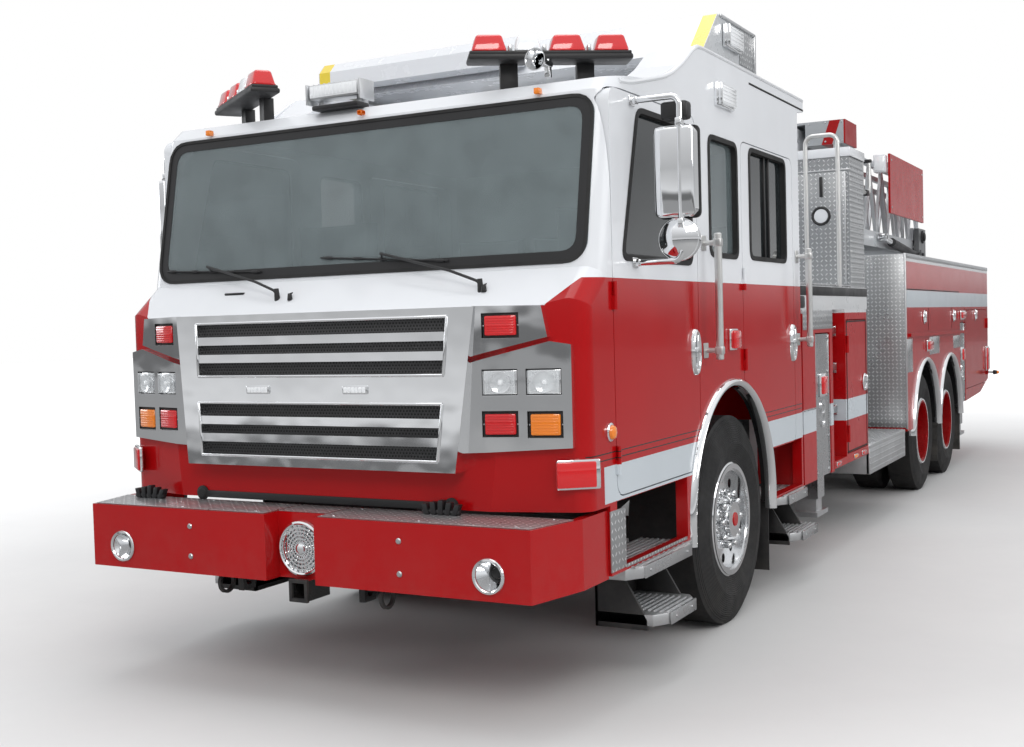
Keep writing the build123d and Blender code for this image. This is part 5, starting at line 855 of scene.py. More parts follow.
bm = new()
ring(bm, screen_loop(0, 0.10, 0.4), screen_loop(-46, 0.07, 0.4), SCREEN_OUT * 0.002)
done(bm, "windscreen_frit", "plastic")
bm = new()
ring(bm, screen_loop(7, 0.11, 0), screen_loop(-8, 0.09, 0), SCREEN_OUT * 0.006)
done(bm, "windscreen_rubber", "rubber")
for index, (pivot, elbow, a, b) in enumerate((
        (P(-351, -1843, 1806), (-857, 1970), (-1136, 1962), (-530, 1935)),
        (P(749, -1843, 1806), (177, 1982), (-175, 1985), (528, 1937)))):
    joint = screen(*elbow, 34)
    lift = pivot + Vector((0, -0.012, 0.030))
    knuckle = lift.lerp(joint, 0.28) + Vector((0, -0.006, 0.012))
    tube(f"wiper_arm_{index + 1}", [pivot, lift, knuckle, joint, screen(*elbow, 14)], 6.5, "black",
         "chassis", 0.02)
    bm = new()
    rod(bm, pivot - Vector((0, -0.004, 0.03)), pivot + Vector((0, -0.004, 0.042)), 15, 11)
    rod(bm, screen(*a, 5), screen(*b, 5), 4.5, segments=10)
    rod(bm, screen(*a, 12), screen(*b, 12), 3.2, segments=10)
    for part in (0.06, 0.3, 0.5, 0.7, 0.94):
        p, q = (screen(*a, 8).lerp(screen(*b, 8), part + way) for way in (-0.03, 0.03))
        rod(bm, p, q, 7.5, segments=10)
    middle = screen(*a, 17).lerp(screen(*b, 17), 0.5)
    rod(bm, screen(*elbow, 17), middle, 5, segments=10)
    done(bm, f"wiper_blade_{index + 1}", "black")
bm = new()
for x in (-270, 770):
    rod(bm, P(x, -1850, 1790), P(x, -1850, 1822), 13, 9)
    rod(bm, P(x, -1850, 1818), P(x, -1828, 1826), 5, 3, 12)
done(bm, "washer_nozzles", "plastic")
boxes("cowl_vent", "plastic", ((-700, -582), (-1812, -1792), (1826, 1838), 4))

# ------------------------------------------------------------------ side glass, seals and door fittings
WINDOWS = (("front_door", ((-1486, 1926), (-640, 1926), (-640, 2583), (-1291, 2583))),
           ("crew_door", ((303, 1984), (995, 1984), (995, 2583), (303, 2583))),
           ("cab_middle", ((-362, 1979), (76, 1979), (76, 2578), (-362, 2578))))
for name, outline in WINDOWS:
    for word, g in SIDES:
        body = "chassis" if name == "cab_middle" else f"{name}_{word}"

        def loop(d, x):
            return soften([P(g * x, p.x, p.y) for p in grow(outline, d)], 0.055 + d / 1000, True)

        bm = new()
        ring(bm, loop(15, 1256.8), loop(-10, 1256.8), X * g * 0.0055)
        ring(bm, loop(-0.5, 1203), loop(-10, 1203), X * g * 0.055)
        done(bm, f"{name}_seal_{word}", "rubber", body)
        if name != "cab_middle":
            bm = new()
            prism(bm, loop(-2, 1228), X * g * 0.005, 0)
            done(bm, f"{name}_glass_{word}", "side_glass", body)
        (fore, low), (aft, _), (_, high) = outline[:3]
        middle, low, high = (fore + aft) / 2, low - 2, high + 2
        bars = {"crew_door": [((g * 1232, g * 1246), (at - 9, at + 9), (low, high), 2)
                              for at in (middle - 22, middle + 60)],
                "front_door": [((g * 1226, g * 1240), (fore + 10, aft - 4), (low, low + 22), 3)],
                "cab_middle": [((g * 1232, g * 1246), (fore, aft), (low, low + 18), 3)]}
        boxes(f"{name}_window_bar_{word}", "plastic", *bars[name], body=body)

HANDLE_Z = 1487
HANDLE_BOWL = [(0, 3), (60, 4), (84, 8), (94, 19), (104, 21), (112, 14), (115, 0), (0, 0)]


def narrow(bm, share, middle):
    """Makes what is in bm narrower along the vehicle, about a middle."""
    bmesh.ops.scale(bm, vec=(1, share, 1), verts=bm.verts[:], space=Matrix.Translation(-middle))


for door, s_mid in (("front_door", -626), ("crew_door", 1098)):
    for word, g in SIDES:
        bm = new()
        lathe(bm, P(g * SIDE, s_mid, HANDLE_Z), X * g, HANDLE_BOWL, 56, False)
        narrow(bm, 0.44, P(g * SIDE, s_mid, HANDLE_Z))
        rod(bm, P(g * 1277, s_mid - 12, 1405), P(g * 1277, s_mid - 12, 1570), 9)
        box(bm, (g * 1266, g * 1284), (s_mid - 26, s_mid + 2), (1462, 1512), 6)
        done(bm, f"{door}_handle_{word}", "chrome", f"{door}_{word}")
        bm = new()
        lathe(bm, P(g * 1260.5, s_mid + 4, HANDLE_Z), X * g, [(0, 1), (80, 1), (80, 3), (0, 3)], 40, False)
        narrow(bm, 0.40, P(g * SIDE, s_mid + 4, HANDLE_Z))
        done(bm, f"{door}_handle_well_{word}", "steel", f"{door}_{word}")

# ------------------------------------------------------------------ mirrors and grab rails
def mirror_edge(g, s, x, z, cut):
    """A mirror's rounded outline between x and z limits, at station s."""
    return soften([P(g * x[0], s, z[0]), P(g * x[1], s, z[0]), P(g * x[1], s, z[1]), P(g * x[0], s, z[1])],
                  cut, True)


ROUND_MIRROR_X, ROUND_MIRROR_Z = 1462, 1998     # the convex one below the tall one
for word, g in SIDES:
    body = f"front_door_{word}"
    bm = new()
    box(bm, (g * 1362, g * 1539), (-1372, -1340), (2098, 2484), 15, segments=4)
    lathe(bm, P(g * ROUND_MIRROR_X, -1353, ROUND_MIRROR_Z), -Y,
          [(0, 30), (38, 26), (70, 14), (88, 1), (95, -3), (95, -9), (0, -9)], 56, False)
    for z in (1905, 2613):
        box(bm, (g * SIDE, g * 1264), (-1388, -1332), (z - 24, z + 24), 3)
        box(bm, (g * 1262, g * 1290), (-1376, -1344), (z - 16, z + 16), 5)
    for z in (2068, 2500):
        box(bm, (g * 1466, g * 1494), (-1382, -1338), (z - 18, z + 18), 5)
    done(bm, f"mirror_shell_{word}", "chrome", body)
    bm = new()
    box(bm, (g * 1390, g * 1512), (-1358, -1286), (2514, 2594), 16, segments=3)
    ring(bm, mirror_edge(g, -1300, (1354, 1547), (2090, 2492), 0.03),
         mirror_edge(g, -1300, (1368, 1533), (2104, 2478), 0.02), Y * 0.014)
    done(bm, f"mirror_trim_{word}", "plastic", body)
    bm = new()
    prism(bm, mirror_edge(g, -1292, (1366, 1535), (2102, 2480), 0.02), Y * 0.004, 0)
    lathe(bm, P(g * ROUND_MIRROR_X, -1323, ROUND_MIRROR_Z), Y,
          [(0, 9), (50, 6), (86, 0), (86, -2), (0, -2)], 48, False)
    done(bm, f"mirror_glass_{word}", "mirror", body)
bm = new()
for s, low, high in ((-470, 1450, 2070), (1225, 1465, 2060)):
    for z in (low + 40, high - 40):
        box(bm, (SIDE, 1264), (s - 32, s + 32), (z - 38, z + 38), 4)
        box(bm, (1313, 1356), (s - 20, s + 20), (z - 22, z + 22), 8, segments=3)
    for z, way in ((low, -1), (high, 1)):
        dome(bm, P(1335, s, z), Z * way, 19.5, 9)
done(bm, "grab_rail_stands", "satin", both=True)

# ------------------------------------------------------------------ roof
tube("roof_roll", [P(1247, -1470, 2684), P(1250, -1350, 2694), P(1250, -900, 2794), P(1250, -690, 2894),
                   P(1250, -520, 3003), P(1250, -420, 3012), P(1250, 1432, 3012)], 13, "white", "chassis",
     0.12, both=True)
boxes("roof_gutter", "rubber", ((1256, 1259.5), (330, 1436), (2946, 2957), 1), both=True)
boxes("clearance_lamps", "amber_lens", ((918, 946), (-1632, -1596), (2640, 2668), 6),
      ((-14, 14), (-1632, -1596), (2648, 2672), 6), both=True)
ALONG_BAR, ACROSS_BAR = Vector((610, 420)).normalized(), Vector((420, -610)).normalized()
for word, g in SIDES:
    turn = Matrix.Rotation(g * math.atan2(420, 610), 3, "Z")

    def bar(bm, along, across, z, round_, segments=2):
        """A box in the light bar's own directions: from its inner end, and ahead of its middle line."""
        x, at = Vector((575, -1600)) + ALONG_BAR * (sum(along) / 2) + ACROSS_BAR * (sum(across) / 2)
        long, wide = (along[1] - along[0]) / 2, (across[1] - across[0]) / 2
        box(bm, (g * x - long, g * x + long), (at - wide, at + wide), z, round_, turn, segments)

    bm = new()
    bar(bm, (0, 741), (-75, 75), (2822, 2848), 9)
    bar(bm, (6, 735), (-66, 66), (2846, 2862), 5)
    bar(bm, (150, 230), (-84, -30), (2700, 2824), 4)
    bar(bm, (500, 580), (-84, -30), (2716, 2824), 4)
    done(bm, f"light_bar_base_{word}", "black", replaces="roof_lights")
    for index, (lo, hi, finish) in enumerate(((14, 176, "red_lens"), (208, 330, "clear_lens"),
                                              (362, 530, "red_lens"), (566, 728, "red_lens"))):
        bm = new()
        bar(bm, (lo, hi), (-60, 60), (2860, 2940), 0)
        top = [v for v in bm.verts if v.co.z > 2.9]
        middle = sum((v.co for v in top), Vector()) / len(top)
        bmesh.ops.scale(bm, vec=(0.72, 0.66, 1), verts=top, space=Matrix.Translation(-middle))
        bevel(bm, bm.edges[:], 14, 4)
        bar(bm, (lo + 14, hi - 14), (-62, 62), (2863, 2872), 3)
        done(bm, f"light_dome_{index + 1}_{word}", finish, replaces="roof_lights")
    bm = new()
    for lo in (190, 344, 546):
        bar(bm, (lo - 8, lo + 8), (-52, 52), (2860, 2892), 4)
    done(bm, f"light_bar_posts_{word}", "steel")
bm = new()
lathe(bm, P(905, -1560, 2800), -Y, [(14, -120), (17, -40), (30, 0), (46, 24), (50, 24), (48, 18), (33, -6),
                                    (20, -44), (17, -120)], 40)
box(bm, (893, 917), (-1470, -1440), (2740, 2822), 4)
done(bm, "air_horn", "chrome")
# flood lamp over the windscreen
bm = new()
box(bm, (-350, -55), (-1548, -1452), (2762, 2835), 8)
for x in (-362, -49):
    box(bm, (x - 2, x + 8), (-1560, -1440), (2740, 2838), 3)
box(bm, (-330, -300), (-1500, -1440), (2690, 2764), 4)
box(bm, (-105, -75), (-1500, -1440), (2690, 2764), 4)
for count in range(9):
    box(bm, (-335 + count * 31, -331 + count * 31), (-1536, -1460), (2834, 2840), 1)
done(bm, "flood_lamp", "alu", replaces="roof_lights")
bm = new()
box(bm, (-342, -63), (-1557, -1546), (2770, 2828), 4)
for count in range(12):
    box(bm, (-334 + count * 22.6, -316 + count * 22.6), (-1559, -1554), (2778, 2820), 3)
done(bm, "flood_lens", "clear_lens")
boxes("flood_foot", "plastic", ((-300, -30), (-1600, -1500), (2700, 2724), 8))

# ------------------------------------------------------------------ lamps on the cab's and basket's sides
def scene_lamp(name, g, x, s0, s1, z0, z1, body):
    boxes(f"{name}_case", "chrome", ((g * (x - 2), g * (x + 22)), (s0, s1), (z0, z1), 7),
          ((g * (x + 4), g * (x + 40)), (s0 + 8, s0 + 20), (z0 + 6, z1 - 6), 3), body=body)
    bm = new()
    box(bm, (g * (x + 18), g * (x + 38)), (s0 + 20, s1 - 12), (z0 + 12, z1 - 12), 8)
    ribs(bm, (g * (x + 34), g * (x + 41)), (s0 + 28, s1 - 20), z0 + 24, z1 - 24, 5)
    done(bm, f"{name}_lens", "clear_lens", body)


for word, g in SIDES:
    scene_lamp(f"cab_scene_lamp_{word}", g, SIDE, -252, 12, 2750, 2873, "chassis")
    scene_lamp(f"basket_scene_lamp_{word}", g, 1203, 60, 330, 3112, 3240, "basket")

# ------------------------------------------------------------------ steps, wheel arches and flaps
# top, front and rear stations, and x of the outer edge
STEP_PLATES = ((575, -1516, -765, 1300), (330, -1309, -843, 1340), (575, 782, 1300, 1290),
               (330, 956, 1430, 1319))
STEP_NOSES = ((575, -1430, -850, 1300), (330, -1235, -915, 1340), (575, 850, 1250, 1290),
              (330, 1030, 1370, 1319))
STEP_GRIPS = ((575, -1505, -776, 1290), (330, -1250, -900, 1330), (575, 800, 1290, 1280),
              (330, 985, 1400, 1310))
bm = new()
for z, s0, s1, nose in STEP_GRIPS:
    count = int((nose - 1020) / 26)
    for index in range(count):
        x = 1022 + index * (nose - 1034) / (count - 1)
        box(bm, (x - 6, x + 6), (s0 + 12, s1 - 12), (z - 1, z + 7), 2)
        for s in range(s0 + 40, s1 - 30, 62):
            box(bm, (x - 9, x + 9), (s - 13, s + 13), (z - 1, z + 4), 2)
done(bm, "step_grips", "alu", both=True)
bm = new()
for z, s0, s1, x in STEP_NOSES:
    box(bm, (x - 3, x + 6), (s0, s1), (z - 54, z + 3), 3)
    for s in (s0 + 60, s1 - 60):
        dome(bm, P(x + 6, s, z - 26), X, 7, 4)
done(bm, "step_noses", "steel", both=True)
# plates cut back at their outer corners, on black hangers
bm = new()
for z, s0, s1, nose in STEP_PLATES:
    prism(bm, [P(1000, s0, z), P(nose - 55, s0, z), P(nose, s0 + 87, z), P(nose, s1 - 87, z),
               P(nose - 55, s1, z), P(1000, s1, z)], Z * -0.052, 3)
done(bm, "step_plates", "alu", replaces="steps", both=True)
bm = new()
for s in (-1309, -859, 956, 1284):
    prism(bm, [P(x, s, z) for x, z in ((1000, 526), (1124, 526), (SIDE, 305), (SIDE, 257), (1000, 257))],
          Y * 0.016, 2)
for s0, s1 in ((-1309, -843), (956, 1300)):
    box(bm, (1000, 1016), (s0, s1), (257, 526), 2)
box(bm, (1030, 1210), (690, 698), (150, 560), 2)
box(bm, (1020, 1220), (688, 783), (530, 560), 3)
done(bm, "step_hangers", "plastic", replaces="steps", both=True)
boxes("step_riser_trim", "tread", ((1254, 1260), (-1688, -1530), (590, 850), 1.5),
      ((1254, 1260), (-1530, -790), (585, 600), 1.5), both=True)
bm = new()
box(bm, (640, 1259), (3165, 4520), (620, 650), 4)
box(bm, (1227, SIDE), (3167, 4518), (423, 622), 4)
for s in (3167, 4488):
    box(bm, (640, 1250), (s, s + 30), (423, 645), 3)
for index in range(12):
    x = 930 + index * 28
    box(bm, (x - 7, x + 7), (3190, 4495), (649, 656), 2)
for z in (455, 500, 545, 590):
    box(bm, (1256, 1260), (3180, 4505), (z - 7, z + 7), 1.5)
done(bm, "running_steps", "alu", replaces="steps", both=True)


def arch(name, s_mid, z_mid, r0, r1, x0, x1, leg=0.0):
    """A bright half-round lip over a wheel arch, carried straight down by leg at both ends."""
    bm = new()
    shape = [(r0, x0), (r0, x1 - 24), (r0 + 7, x1 - 9), (r0 + 18, x1 - 1), ((r0 + r1) / 2 + 4, x1),
             (r1 - 8, x1 - 7), (r1 - 1, x1 - 21), (r1, x0)]
    lathe(bm, P(0, s_mid, z_mid), X, shape, 56, True, math.radians(-90), math.pi)
    if leg:
        for way in (-1, 1):
            prism(bm, [P(x, s_mid + way * r, z_mid) for r, x in shape], Z * (-leg / 1000), 0)
    done(bm, name, "chrome", both=True)


arch("front_arch_lip", *FRONT_ARCH, 644, 690, 1222, 1284, 105)
for axle, station in REAR_AXLES:
    arch(f"rear_arch_lip_{axle}", station, REAR_ARCH_Z, 633, 680, 1222, 1282)
for name, s, z0, z1 in (("rear_flap_1", 6196, 190, 560), ("rear_flap_2", 7560, 165, 610)):
    bm = new()
    box(bm, (660, 1236), (s, s + 10), (z0, z1), 3)
    box(bm, (650, 1246), (s - 8, s + 18), (z1 - 30, z1 + 8), 4)
    rivets(bm, (700, 880, 1060, 1200), (s - 8,), (z1 - 12,), -Y, 9, 6)
    done(bm, name, "rubber", both=True)

# ------------------------------------------------------------------ wheel centres
NUT_COVER = [(0, -2), (23, -2), (23, 6), (18, 9), (17.5, 52), (15, 60), (8, 65), (0, 66)]
HUB_CAP = [(0, 2), (40, 2), (70, -2), (95, -12), (98, -22), (98, -30), (0, -30)]
FLANGE = [(286, -6), (292, 4), (301, 7), (309, 2), (309, -4), (300, -2), (294, -8)]
for word, g in SIDES:
    wheels = [(f"wheel_front_{word}", 0, FRONT_HUB_Z, 1165, 70, 1212)]
    wheels += [(f"wheels_rear_{axle}_{word}", station, REAR_HUB_Z, 924, 150, 1204)
               for axle, station in REAR_AXLES]
    for body, s, hub_z, disc, cap, flange in wheels:
        hub = P(g * disc, s, hub_z)
        out = X * g
        bm = new()
        for count in range(10):
            a = math.radians(count * 36 + 18)
            at = hub + Vector((0, math.sin(a), math.cos(a))) * 0.143
            lathe(bm, at, out, NUT_COVER, 20, False)
        lathe(bm, hub + out * (cap / 1000), out, HUB_CAP, 40, False)
        lathe(bm, hub, out, [(96, 0), (118, 0), (118, 7), (110, 12), (96, 12)], 48)
        done(bm, f"{body}_nut_covers", "chrome", body)
        bm = new()
        lathe(bm, hub + out * (cap / 1000), out, [(0, 1), (38, 1), (38, 5), (34, 8), (0, 9)], 36, False)
        done(bm, f"{body}_badge", "red", body)
        bm = new()
        lathe(bm, P(g * flange, s, hub_z), out, FLANGE, 72)
        rod(bm, hub + Vector((g * 0.01, 0.0, 0.258)), hub + Vector((g * 0.055, 0.0, 0.272)), 6, 4, 12)
        done(bm, f"{body}_flange", "chrome", body)

# ------------------------------------------------------------------ slot in the apron as a black strip of painted shade, and mounts
# a black strip standing for the slot's shaded opening: painted shade, not a cut
boxes("apron_slot_painted_shade", "plastic", ((-700, 640), (-1992, -1983), (872, 905), 3))
bm = new()
for x in (-720, 662):
    lathe(bm, P(x, -1985, 892), -Y, [(0, -2), (27, -2), (27, 10), (20, 16), (0, 17)], 28, False)
    lathe(bm, P(x, -1985, 892), -Y, [(26, 0), (34, 0), (34, 7), (26, 9)], 28)
done(bm, "apron_mounts", "rubber")

# ------------------------------------------------------------------ pump house and deck, both sides alike
bm = new()
for z in (1000, 1300, 1560):
    for count in range(5):
        box(bm, (1130, 1196), (2140 + count * 56, 2172 + count * 56), (z - 2, z + 6), 3)
    box(bm, (1188, 1204), (2120, 2412), (z - 42, z + 4), 4)
    for s in (2112, 2408):
        box(bm, (952, 1200), (s, s + 12), (z - 60, z + 12), 3)
done(bm, "folding_steps", "steel", both=True)
boxes("step_recess_back", "tread", ((950, 956), (2090, 2440), (700, 1660), 1), both=True)
boxes("deck_edge", "plastic", ((1199, 1204), (1330, 3396), (1785, 1846), 2),
      ((640, 1203), (3396, 3403), (1785, 1846), 2), ((1120, 1240), (1345, 1480), (1700, 1780), 12),
      both=True)
bm = new()
box(bm, (1196, 1202), (1336, 2880), (1852, 1870), 3)
box(bm, (1252, 1260), (1336, 1625), (1040, 1052), 2)
rivets(bm, (SIDE,), (1480, 1700, 1960, 2070), (1640,), X, 8, 4)
done(bm, "deck_trim", "steel", both=True)
boxes("post_plate", "tread", ((1256, 1261), (1340, 2080), (1560, 1684), 1), both=True)

# deck lockers: doors on the front, ribs along the side, a white port and a latch
boxes("deck_locker_door", "tread", ((690, 1175), (2881, 2890), (1875, 2716), 3), both=True)
bm = new()
box(bm, (640, 1206), (2880, 2900), (2722, 2734), 3)
for index in range(24):
    z = 1880 + index * 38
    box(bm, (1198, 1205), (2905, 3330), (z, z + 18), 3)
for x in (692, 1168):
    box(bm, (x - 7, x + 7), (2877, 2888), (1880, 2712), 3)
done(bm, "deck_locker_trim", "alu", both=True)
boxes("deck_locker_cap", "white", ((634, 1212), (2878, 3352), (2824, 2892), 6), both=True)
PORT = P(990, 2881, 2393)               # middle of the port in each locker's door
bm = new()
lathe(bm, PORT, -Y, [(52, 0), (72, 0), (72, 8), (62, 13), (52, 8)], 40)
box(bm, (982, 1006), (2866, 2882), (2534, 2684), 6)
lathe(bm, P(872, 2881, 2210), -Y, [(0, 0), (17, 0), (17, 9), (9, 13), (0, 13)], 20, False)
done(bm, "deck_locker_port_ring", "plastic", both=True)
bm = new()
lathe(bm, PORT, -Y, [(0, 1), (53, 1), (53, 6), (40, 9), (0, 10)], 40, False)
done(bm, "deck_locker_port", "white", both=True)

# pump doors
for word, g in SIDES:
    body = f"pump_door_{word}"
    bm = new()
    lathe(bm, P(g * SIDE, 3014, 1142), X * g,
          [(0, 0), (62, 0), (66, 6), (62, 13), (48, 13), (40, 6), (0, 5)], 40, False)
    pull(bm, g * 1262, g * 1279, 3012, 1090, 1194, 8)
    done(bm, f"pump_door_handle_{word}", "chrome", body)
    bm = new()
    edge = [(2476, 660), (3090, 660), (3090, 1610), (2476, 1610)]
    ring(bm, [P(g * 1256.8, *p) for p in grow(edge, -3)], [P(g * 1256.8, *p) for p in grow(edge, -13)],
         X * g * 0.003)
    done(bm, f"pump_door_gasket_{word}", "rubber", body)
boxes("rub_rail_lamp_rims", "chrome",
      *(((1256, 1264), (s - 62, s + 62), (600, 632), 5) for s in (2200, 2715, 2962)), both=True)
boxes("rub_rail_lenses", "red_lens",
      *(((1260, 1270), (s - 52, s + 52), (605, 627), 5) for s in (2200, 2962)), both=True)
boxes("rub_rail_amber_lens", "amber_lens", ((1260, 1270), (2663, 2767), (605, 627), 5), both=True)

# pump panel: valve collars and handwheels, gauges in rows, pull handles
SMALL_GAUGES, LARGE_GAUGES = range(3240, 4381, 190), (3420, 3700)      # stations
SMALL_GAUGE_Z, LARGE_GAUGE_Z = 1570, 1480
HANDWHEEL = [(0, -4), (66, -4), (70, 0), (70, 18), (64, 26), (30, 30), (0, 30)]
VALVES = ((3290, 1370), (3290, 1150), (3560, 1260), (3850, 1150), (3850, 1370), (4150, 1260))
boxes("pump_panel_face", "steel", ((750, 756), (3140, 4600), (720, 1676), 2), both=True)
bm = new()
for s, z in VALVES:
    at = P(750, s, z)
    lathe(bm, at, X, [(60, 6), (84, 6), (84, 16), (66, 22), (60, 22)], 36)
    lathe(bm, at + X * 0.120, X, HANDWHEEL, 36, False)
    for a in range(0, 360, 60):
        d = Vector((0, math.sin(math.radians(a)), math.cos(math.radians(a))))
        rod(bm, at + X * 0.128 + d * 0.060, at + X * 0.128 + d * 0.088, 8, 6, 12)
for s in range(3250, 4400, 150):
    rod(bm, P(752, s, 940), P(826, s, 940), 6, segments=12)
    box(bm, (822, 842), (s - 32, s + 32), (930, 950), 6)
done(bm, "pump_panel_valves", "chrome", both=True)
bm = new()
for s in SMALL_GAUGES:
    lathe(bm, P(754, s, SMALL_GAUGE_Z), X, [(40, 0), (52, 0), (52, 18), (44, 24), (40, 18)], 32)
for s in LARGE_GAUGES:
    lathe(bm, P(754, s, LARGE_GAUGE_Z), X, [(60, 0), (76, 0), (76, 22), (64, 28), (60, 20)], 40)
for s in (4390, 4500):
    hook = [P(756, s, 1500), P(806, s, 1500), P(806, s, 1430), P(840, s, 1430), P(840, s, 1500)]
    for a, b in zip(hook, hook[1:]):
        rod(bm, a, b, 8, segments=12)
done(bm, "pump_panel_bezels", "plastic", both=True)
bm = new()
for s in SMALL_GAUGES:
    lathe(bm, P(754, s, SMALL_GAUGE_Z), X, [(0, 0), (41, 0), (41, 14), (0, 15)], 28, False)
for s in LARGE_GAUGES:
    lathe(bm, P(754, s, LARGE_GAUGE_Z), X, [(0, 0), (61, 0), (61, 16), (0, 17)], 32, False)
done(bm, "pump_panel_dials", "white", both=True)

# ------------------------------------------------------------------ outrigger covers
for place, s0, s1, z0, z1 in (("front", 1640, 2007, 577, 1527), ("rear", 7548, 7872, 668, 1527)):
    for word, g in SIDES:
        body = f"outrigger_{place}_{word}"
        mid = (s0 + s1) / 2

        def grip(half, low, high, cut):
            """A rounded loop on the cover, from low to high."""
            return soften([P(g * 1248, mid + s, z) for s, z in ((-half, low), (half, low), (half, high),
                                                                (-half, high))], cut, True)

        bm = new()
        for s in (s0 + 30, s1 - 30):
            for z in (z0 + 30, z0 + (z1 - z0) * 0.27, z0 + (z1 - z0) * 0.73, z1 - 30):
                bolt(bm, P(g * 1248, s, z), X * g, 9, 6)
        box(bm, (g * 1247, g * 1253), (s0 + 8, s0 + 22), (z0 + 8, z1 - 8), 2)
        box(bm, (g * 1247, g * 1253), (s1 - 22, s1 - 8), (z0 + 8, z1 - 8), 2)
        done(bm, f"outrigger_bolts_{place}_{word}", "steel", body)
        boxes(f"outrigger_lamp_rim_{place}_{word}", "chrome",
              ((g * 1247, g * 1264), (mid - 78, mid + 78), (1108, 1264), 10), body=body)
        bm = new()
        box(bm, (g * 1260, g * 1278), (mid - 60, mid + 60), (1126, 1246), 12)
        ribs(bm, (g * 1275, g * 1281), (mid - 50, mid + 50), 1150, 1225, 4)
        done(bm, f"outrigger_lamp_{place}_{word}", "red_lens", body)
        bm = new()
        ring(bm, grip(52, 900, 1090, 0.05), grip(34, 918, 1072, 0.034), X * g * 0.008)
        rod(bm, P(g * 1256, mid - 34, 1000), P(g * 1256, mid + 34, 1000), 7)
        done(bm, f"outrigger_handle_{place}_{word}", "chrome", body)

# ------------------------------------------------------------------ rear body
boxes("rear_body_front_plate", "tread", ((702, 1259), (4632, 4641), (655, 2158), 2), both=True)
bm = new()
box(bm, (1243, 1262), (4628, 4652), (640, 2168), 5)
box(bm, (1240, 1263), (4632, 9626), (2128, 2170), 5)
box(bm, (700, 716), (4640, 9620), (2150, 2176), 4)
rivets(bm, (1263,), range(4760, 9600, 605), (2149,), X, 7, 4)
done(bm, "rear_body_cap", "alu", both=True)
bm = new()
for s0, s1, z0, z1 in ((4668, 4900, 1130, 1424), (5735, 6260, 1250, 1418), (7080, 7500, 1270, 1400)):
    box(bm, (1256, 1261), (s0, s1), (z0, z1), 2)
    rivets(bm, (1261,), (s0 + 20, s1 - 20), (z0 + 20, z1 - 20), X, 6, 3)
done(bm, "rear_body_plates", "steel", both=True)
bm = new()
for s in (5474, 7109, 8618):
    lathe(bm, P(SIDE, s, 1608), X, [(0, 0), (60, 0), (64, 6), (60, 12), (46, 12), (38, 5), (0, 4)], 40,
          False)
    pull(bm, 1260, 1277, s, 1560, 1656, 7)
done(bm, "rear_body_latches", "chrome", both=True)
boxes("rear_body_lamp_rims", "chrome", *(((1256, 1274), s, z, 9) for s, z in (
    ((5560, 5826), (1285, 1395)), ((7530, 7840), (1560, 1660)), ((9392, 9592), (925, 1222)))), both=True)
boxes("rear_body_lamps", "red_lens", *(((1268, 1288), s, z, 11) for s, z in (
    ((5576, 5810), (1300, 1380)), ((7546, 7824), (1575, 1645)), ((9408, 9576), (941, 1206)))), both=True)
bm = new()
rod(bm, P(1250, 9560, 905), P(1330, 9600, 900), 9)
rod(bm, P(1326, 9592, 900), P(1360, 9610, 900), 28, 22)
done(bm, "tail_marker_stalks", "rubber", both=True)
bm = new()
rod(bm, P(1356, 9605, 900), P(1380, 9617, 900), 22, 16)
done(bm, "tail_marker_lamps", "amber_lens", both=True)
bm = new()
box(bm, (1256, 1262), (4668, 7480), (1853, 1861), 1)
for s in (5700, 7010, 7880):
    box(bm, (1256.5, 1259), (s - 2, s + 2), (1480, 1690), 0.5)
done(bm, "rear_body_seams", "rubber", both=True)

# tail: lamps in chrome frames and a tread plate
TAIL_LAMP_X = (1120, 980)
TAIL_LAMPS = ((1010, "clear_lens", "reverse"), (1180, "amber_lens", "turn"), (1350, "red_lens", "stop"))
boxes("tail_lamp_rims", "chrome", *(((x - 62, x + 62), (9618, 9648), (z - 72, z + 72), 8)
                                    for x in TAIL_LAMP_X for z, _, _ in TAIL_LAMPS), both=True)
for z, finish, word in TAIL_LAMPS:
    bm = new()
    for x in TAIL_LAMP_X:
        box(bm, (x - 50, x + 50), (9640, 9660), (z - 58, z + 58), 12)
        ribs(bm, (x - 42, x + 42), (9657, 9663), z - 40, z + 40, 5)
    done(bm, f"tail_lamp_{word}", finish, both=True)
boxes("tail_plate", "tread", ((-680, 680), (9622, 9632), (900, 1690), 3))

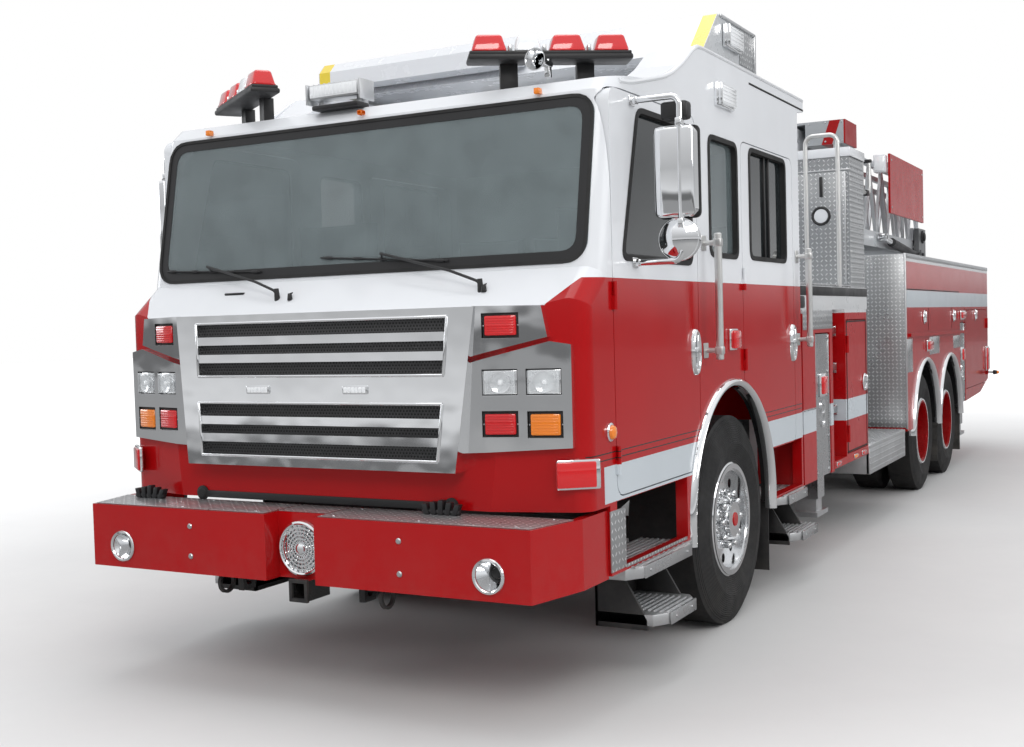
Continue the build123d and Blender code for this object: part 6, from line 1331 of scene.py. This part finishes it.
# ------------------------------------------------------------------ ladder, jib and basket
for word, g in SIDES:
    boxes(f"sign_lamp_{word}", "white", ((g * 724, g * 836), (5905, 6030), (3020, 3190), 10),
          ((g * 700, g * 726), (5940, 5990), (3080, 3140), 4), body="ladder_base")
    boxes(f"sign_lamp_lens_{word}", "clear_lens", ((g * 736, g * 824), (5898, 5908), (3036, 3174), 6),
          body="ladder_base")
    bm = new()
    for s in (6100, 7700):
        for z in (2690, 3150):
            bolt(bm, P(g * 858, s, z), X * g, 9, 6)
    done(bm, f"sign_bolts_{word}", "steel", "ladder_base")
    tube(f"ladder_hoop_{word}", [P(g * 742, 5330, 3112), P(g * 742, 5330, 2790), P(g * 742, 5640, 2790),
                                 P(g * 742, 5640, 3112)], 19, "satin", "ladder_base", 0.09)
    bm = new()
    box(bm, (g * 712, g * 766), (5440, 5540), (2764, 2816), 6)
    for s in (5330, 5640):
        box(bm, (g * 698, g * 766), (s - 26, s + 26), (3086, 3118), 5)
    done(bm, f"ladder_hoop_clamps_{word}", "plastic", "ladder_base")
    bm = new()
    for s in (5420, 6300, 7200, 8000):
        bolt(bm, P(g * 700, s, 2385), X * g, 12, 8)
    done(bm, f"ladder_bolts_{word}", "steel", "ladder_base")
    # caps of the heel pins and of the cylinders' pins
    bm = new()
    lathe(bm, P(g * 770, 8150, 2500), X * g,
          [(0, 0), (72, 0), (72, 10), (46, 14), (46, 30), (40, 34), (0, 34)], 36, False)
    lathe(bm, P(g * 842, 7750, 2275), X * g, [(0, 0), (30, 0), (30, 12), (24, 16), (0, 16)], 28, False)
    done(bm, f"turntable_pin_caps_{word}", "iron", "turntable")
bm = new()
rivets(bm, (300, 455, 610), (5150,), (3258, 3430), -Y)
done(bm, "elbow_rivets", "steel", "ladder_fly", both=True)
bm = new()
rivets(bm, (200,), range(900, 5300, 400), (3190, 3375), X)
box(bm, (199, 206), (780, 5140), (3268, 3300), 2)
done(bm, "jib_side_strip", "steel", "jib", both=True)
bm = new()
box(bm, (1198, 1210), (20, 622), (3264, 3282), 4)
box(bm, (1198, 1210), (20, 622), (3040, 3058), 4)
box(bm, (1196, 1210), (606, 630), (3044, 3280), 4)
rivets(bm, (1210,), (120, 400), (3273,), X, 6, 3)
done(bm, "basket_side_trim", "alu", "basket", both=True)
boxes("basket_side_plate", "tread", ((1199, 1204), (345, 600), (3066, 3256), 2), body="basket", both=True)
bm = new()
for x in (-900, -300, 300, 900):
    box(bm, (x - 60, x + 60), (600, 640), (3276, 3290), 4)
rod(bm, P(-1150, 620, 3262), P(1150, 620, 3262), 17)
done(bm, "basket_rear_rail", "satin", "basket")

# ------------------------------------------------------------------ seat cushions
SEWN_AT = (-0.45, 0.45)     # channels across a pad, as shares of its half width


def cushion(name, x, s, z, face, lean=0.0):
    """A crowned pad between x, station and z limits, its face towards the axis numbered face (1 or 2)."""
    bm = new()
    bmesh.ops.create_cube(bm, size=2.0)
    bmesh.ops.subdivide_edges(bm, edges=bm.edges[:], cuts=23, use_grid_fill=True)
    lo, hi = P(x[0], s[0], z[0]), P(x[1], s[1], z[1])
    middle, half = (lo + hi) / 2, (hi - lo) / 2
    way = -1 if face == 1 else 1
    a, b = [axis for axis in range(3) if axis != face]
    for v in bm.verts:
        c = v.co.copy()
        u, w = c[a], c[b]
        crown = (1 - u ** 4) * (1 - w ** 4)
        c[a] *= 1 - 0.035 * (1 - w * w) - 0.05 * abs(c[face]) ** 4
        c[b] *= 1 - 0.035 * (1 - u * u) - 0.05 * abs(c[face]) ** 4
        groove = sum(math.exp(-((u - at) / 0.05) ** 2) for at in SEWN_AT)
        if c[face] * way > 0.5:
            c[face] += way * (0.16 * crown - 0.12 * groove * (1 - w ** 6) - 0.10)
        v.co = middle + Vector(c[i] * half[i] for i in range(3))
        v.co.y += lean * (v.co.z - lo.z)
    pad = done(bm, name, "cloth", smooth=80)


SEATS = ((820, -1130), (-820, -1130), (900, 780), (300, 780), (-300, 780), (-900, 780))
for index, (x, s) in enumerate(SEATS):
    wide = (x - 246, x + 246)
    cushion(f"seat_pan_pad_{index + 1}", wide, (s - 8, s + 366), (1416, 1552), 2)
    cushion(f"seat_back_pad_{index + 1}", wide, (s + 338, s + 448), (1534, 2236), 1, 0.035)
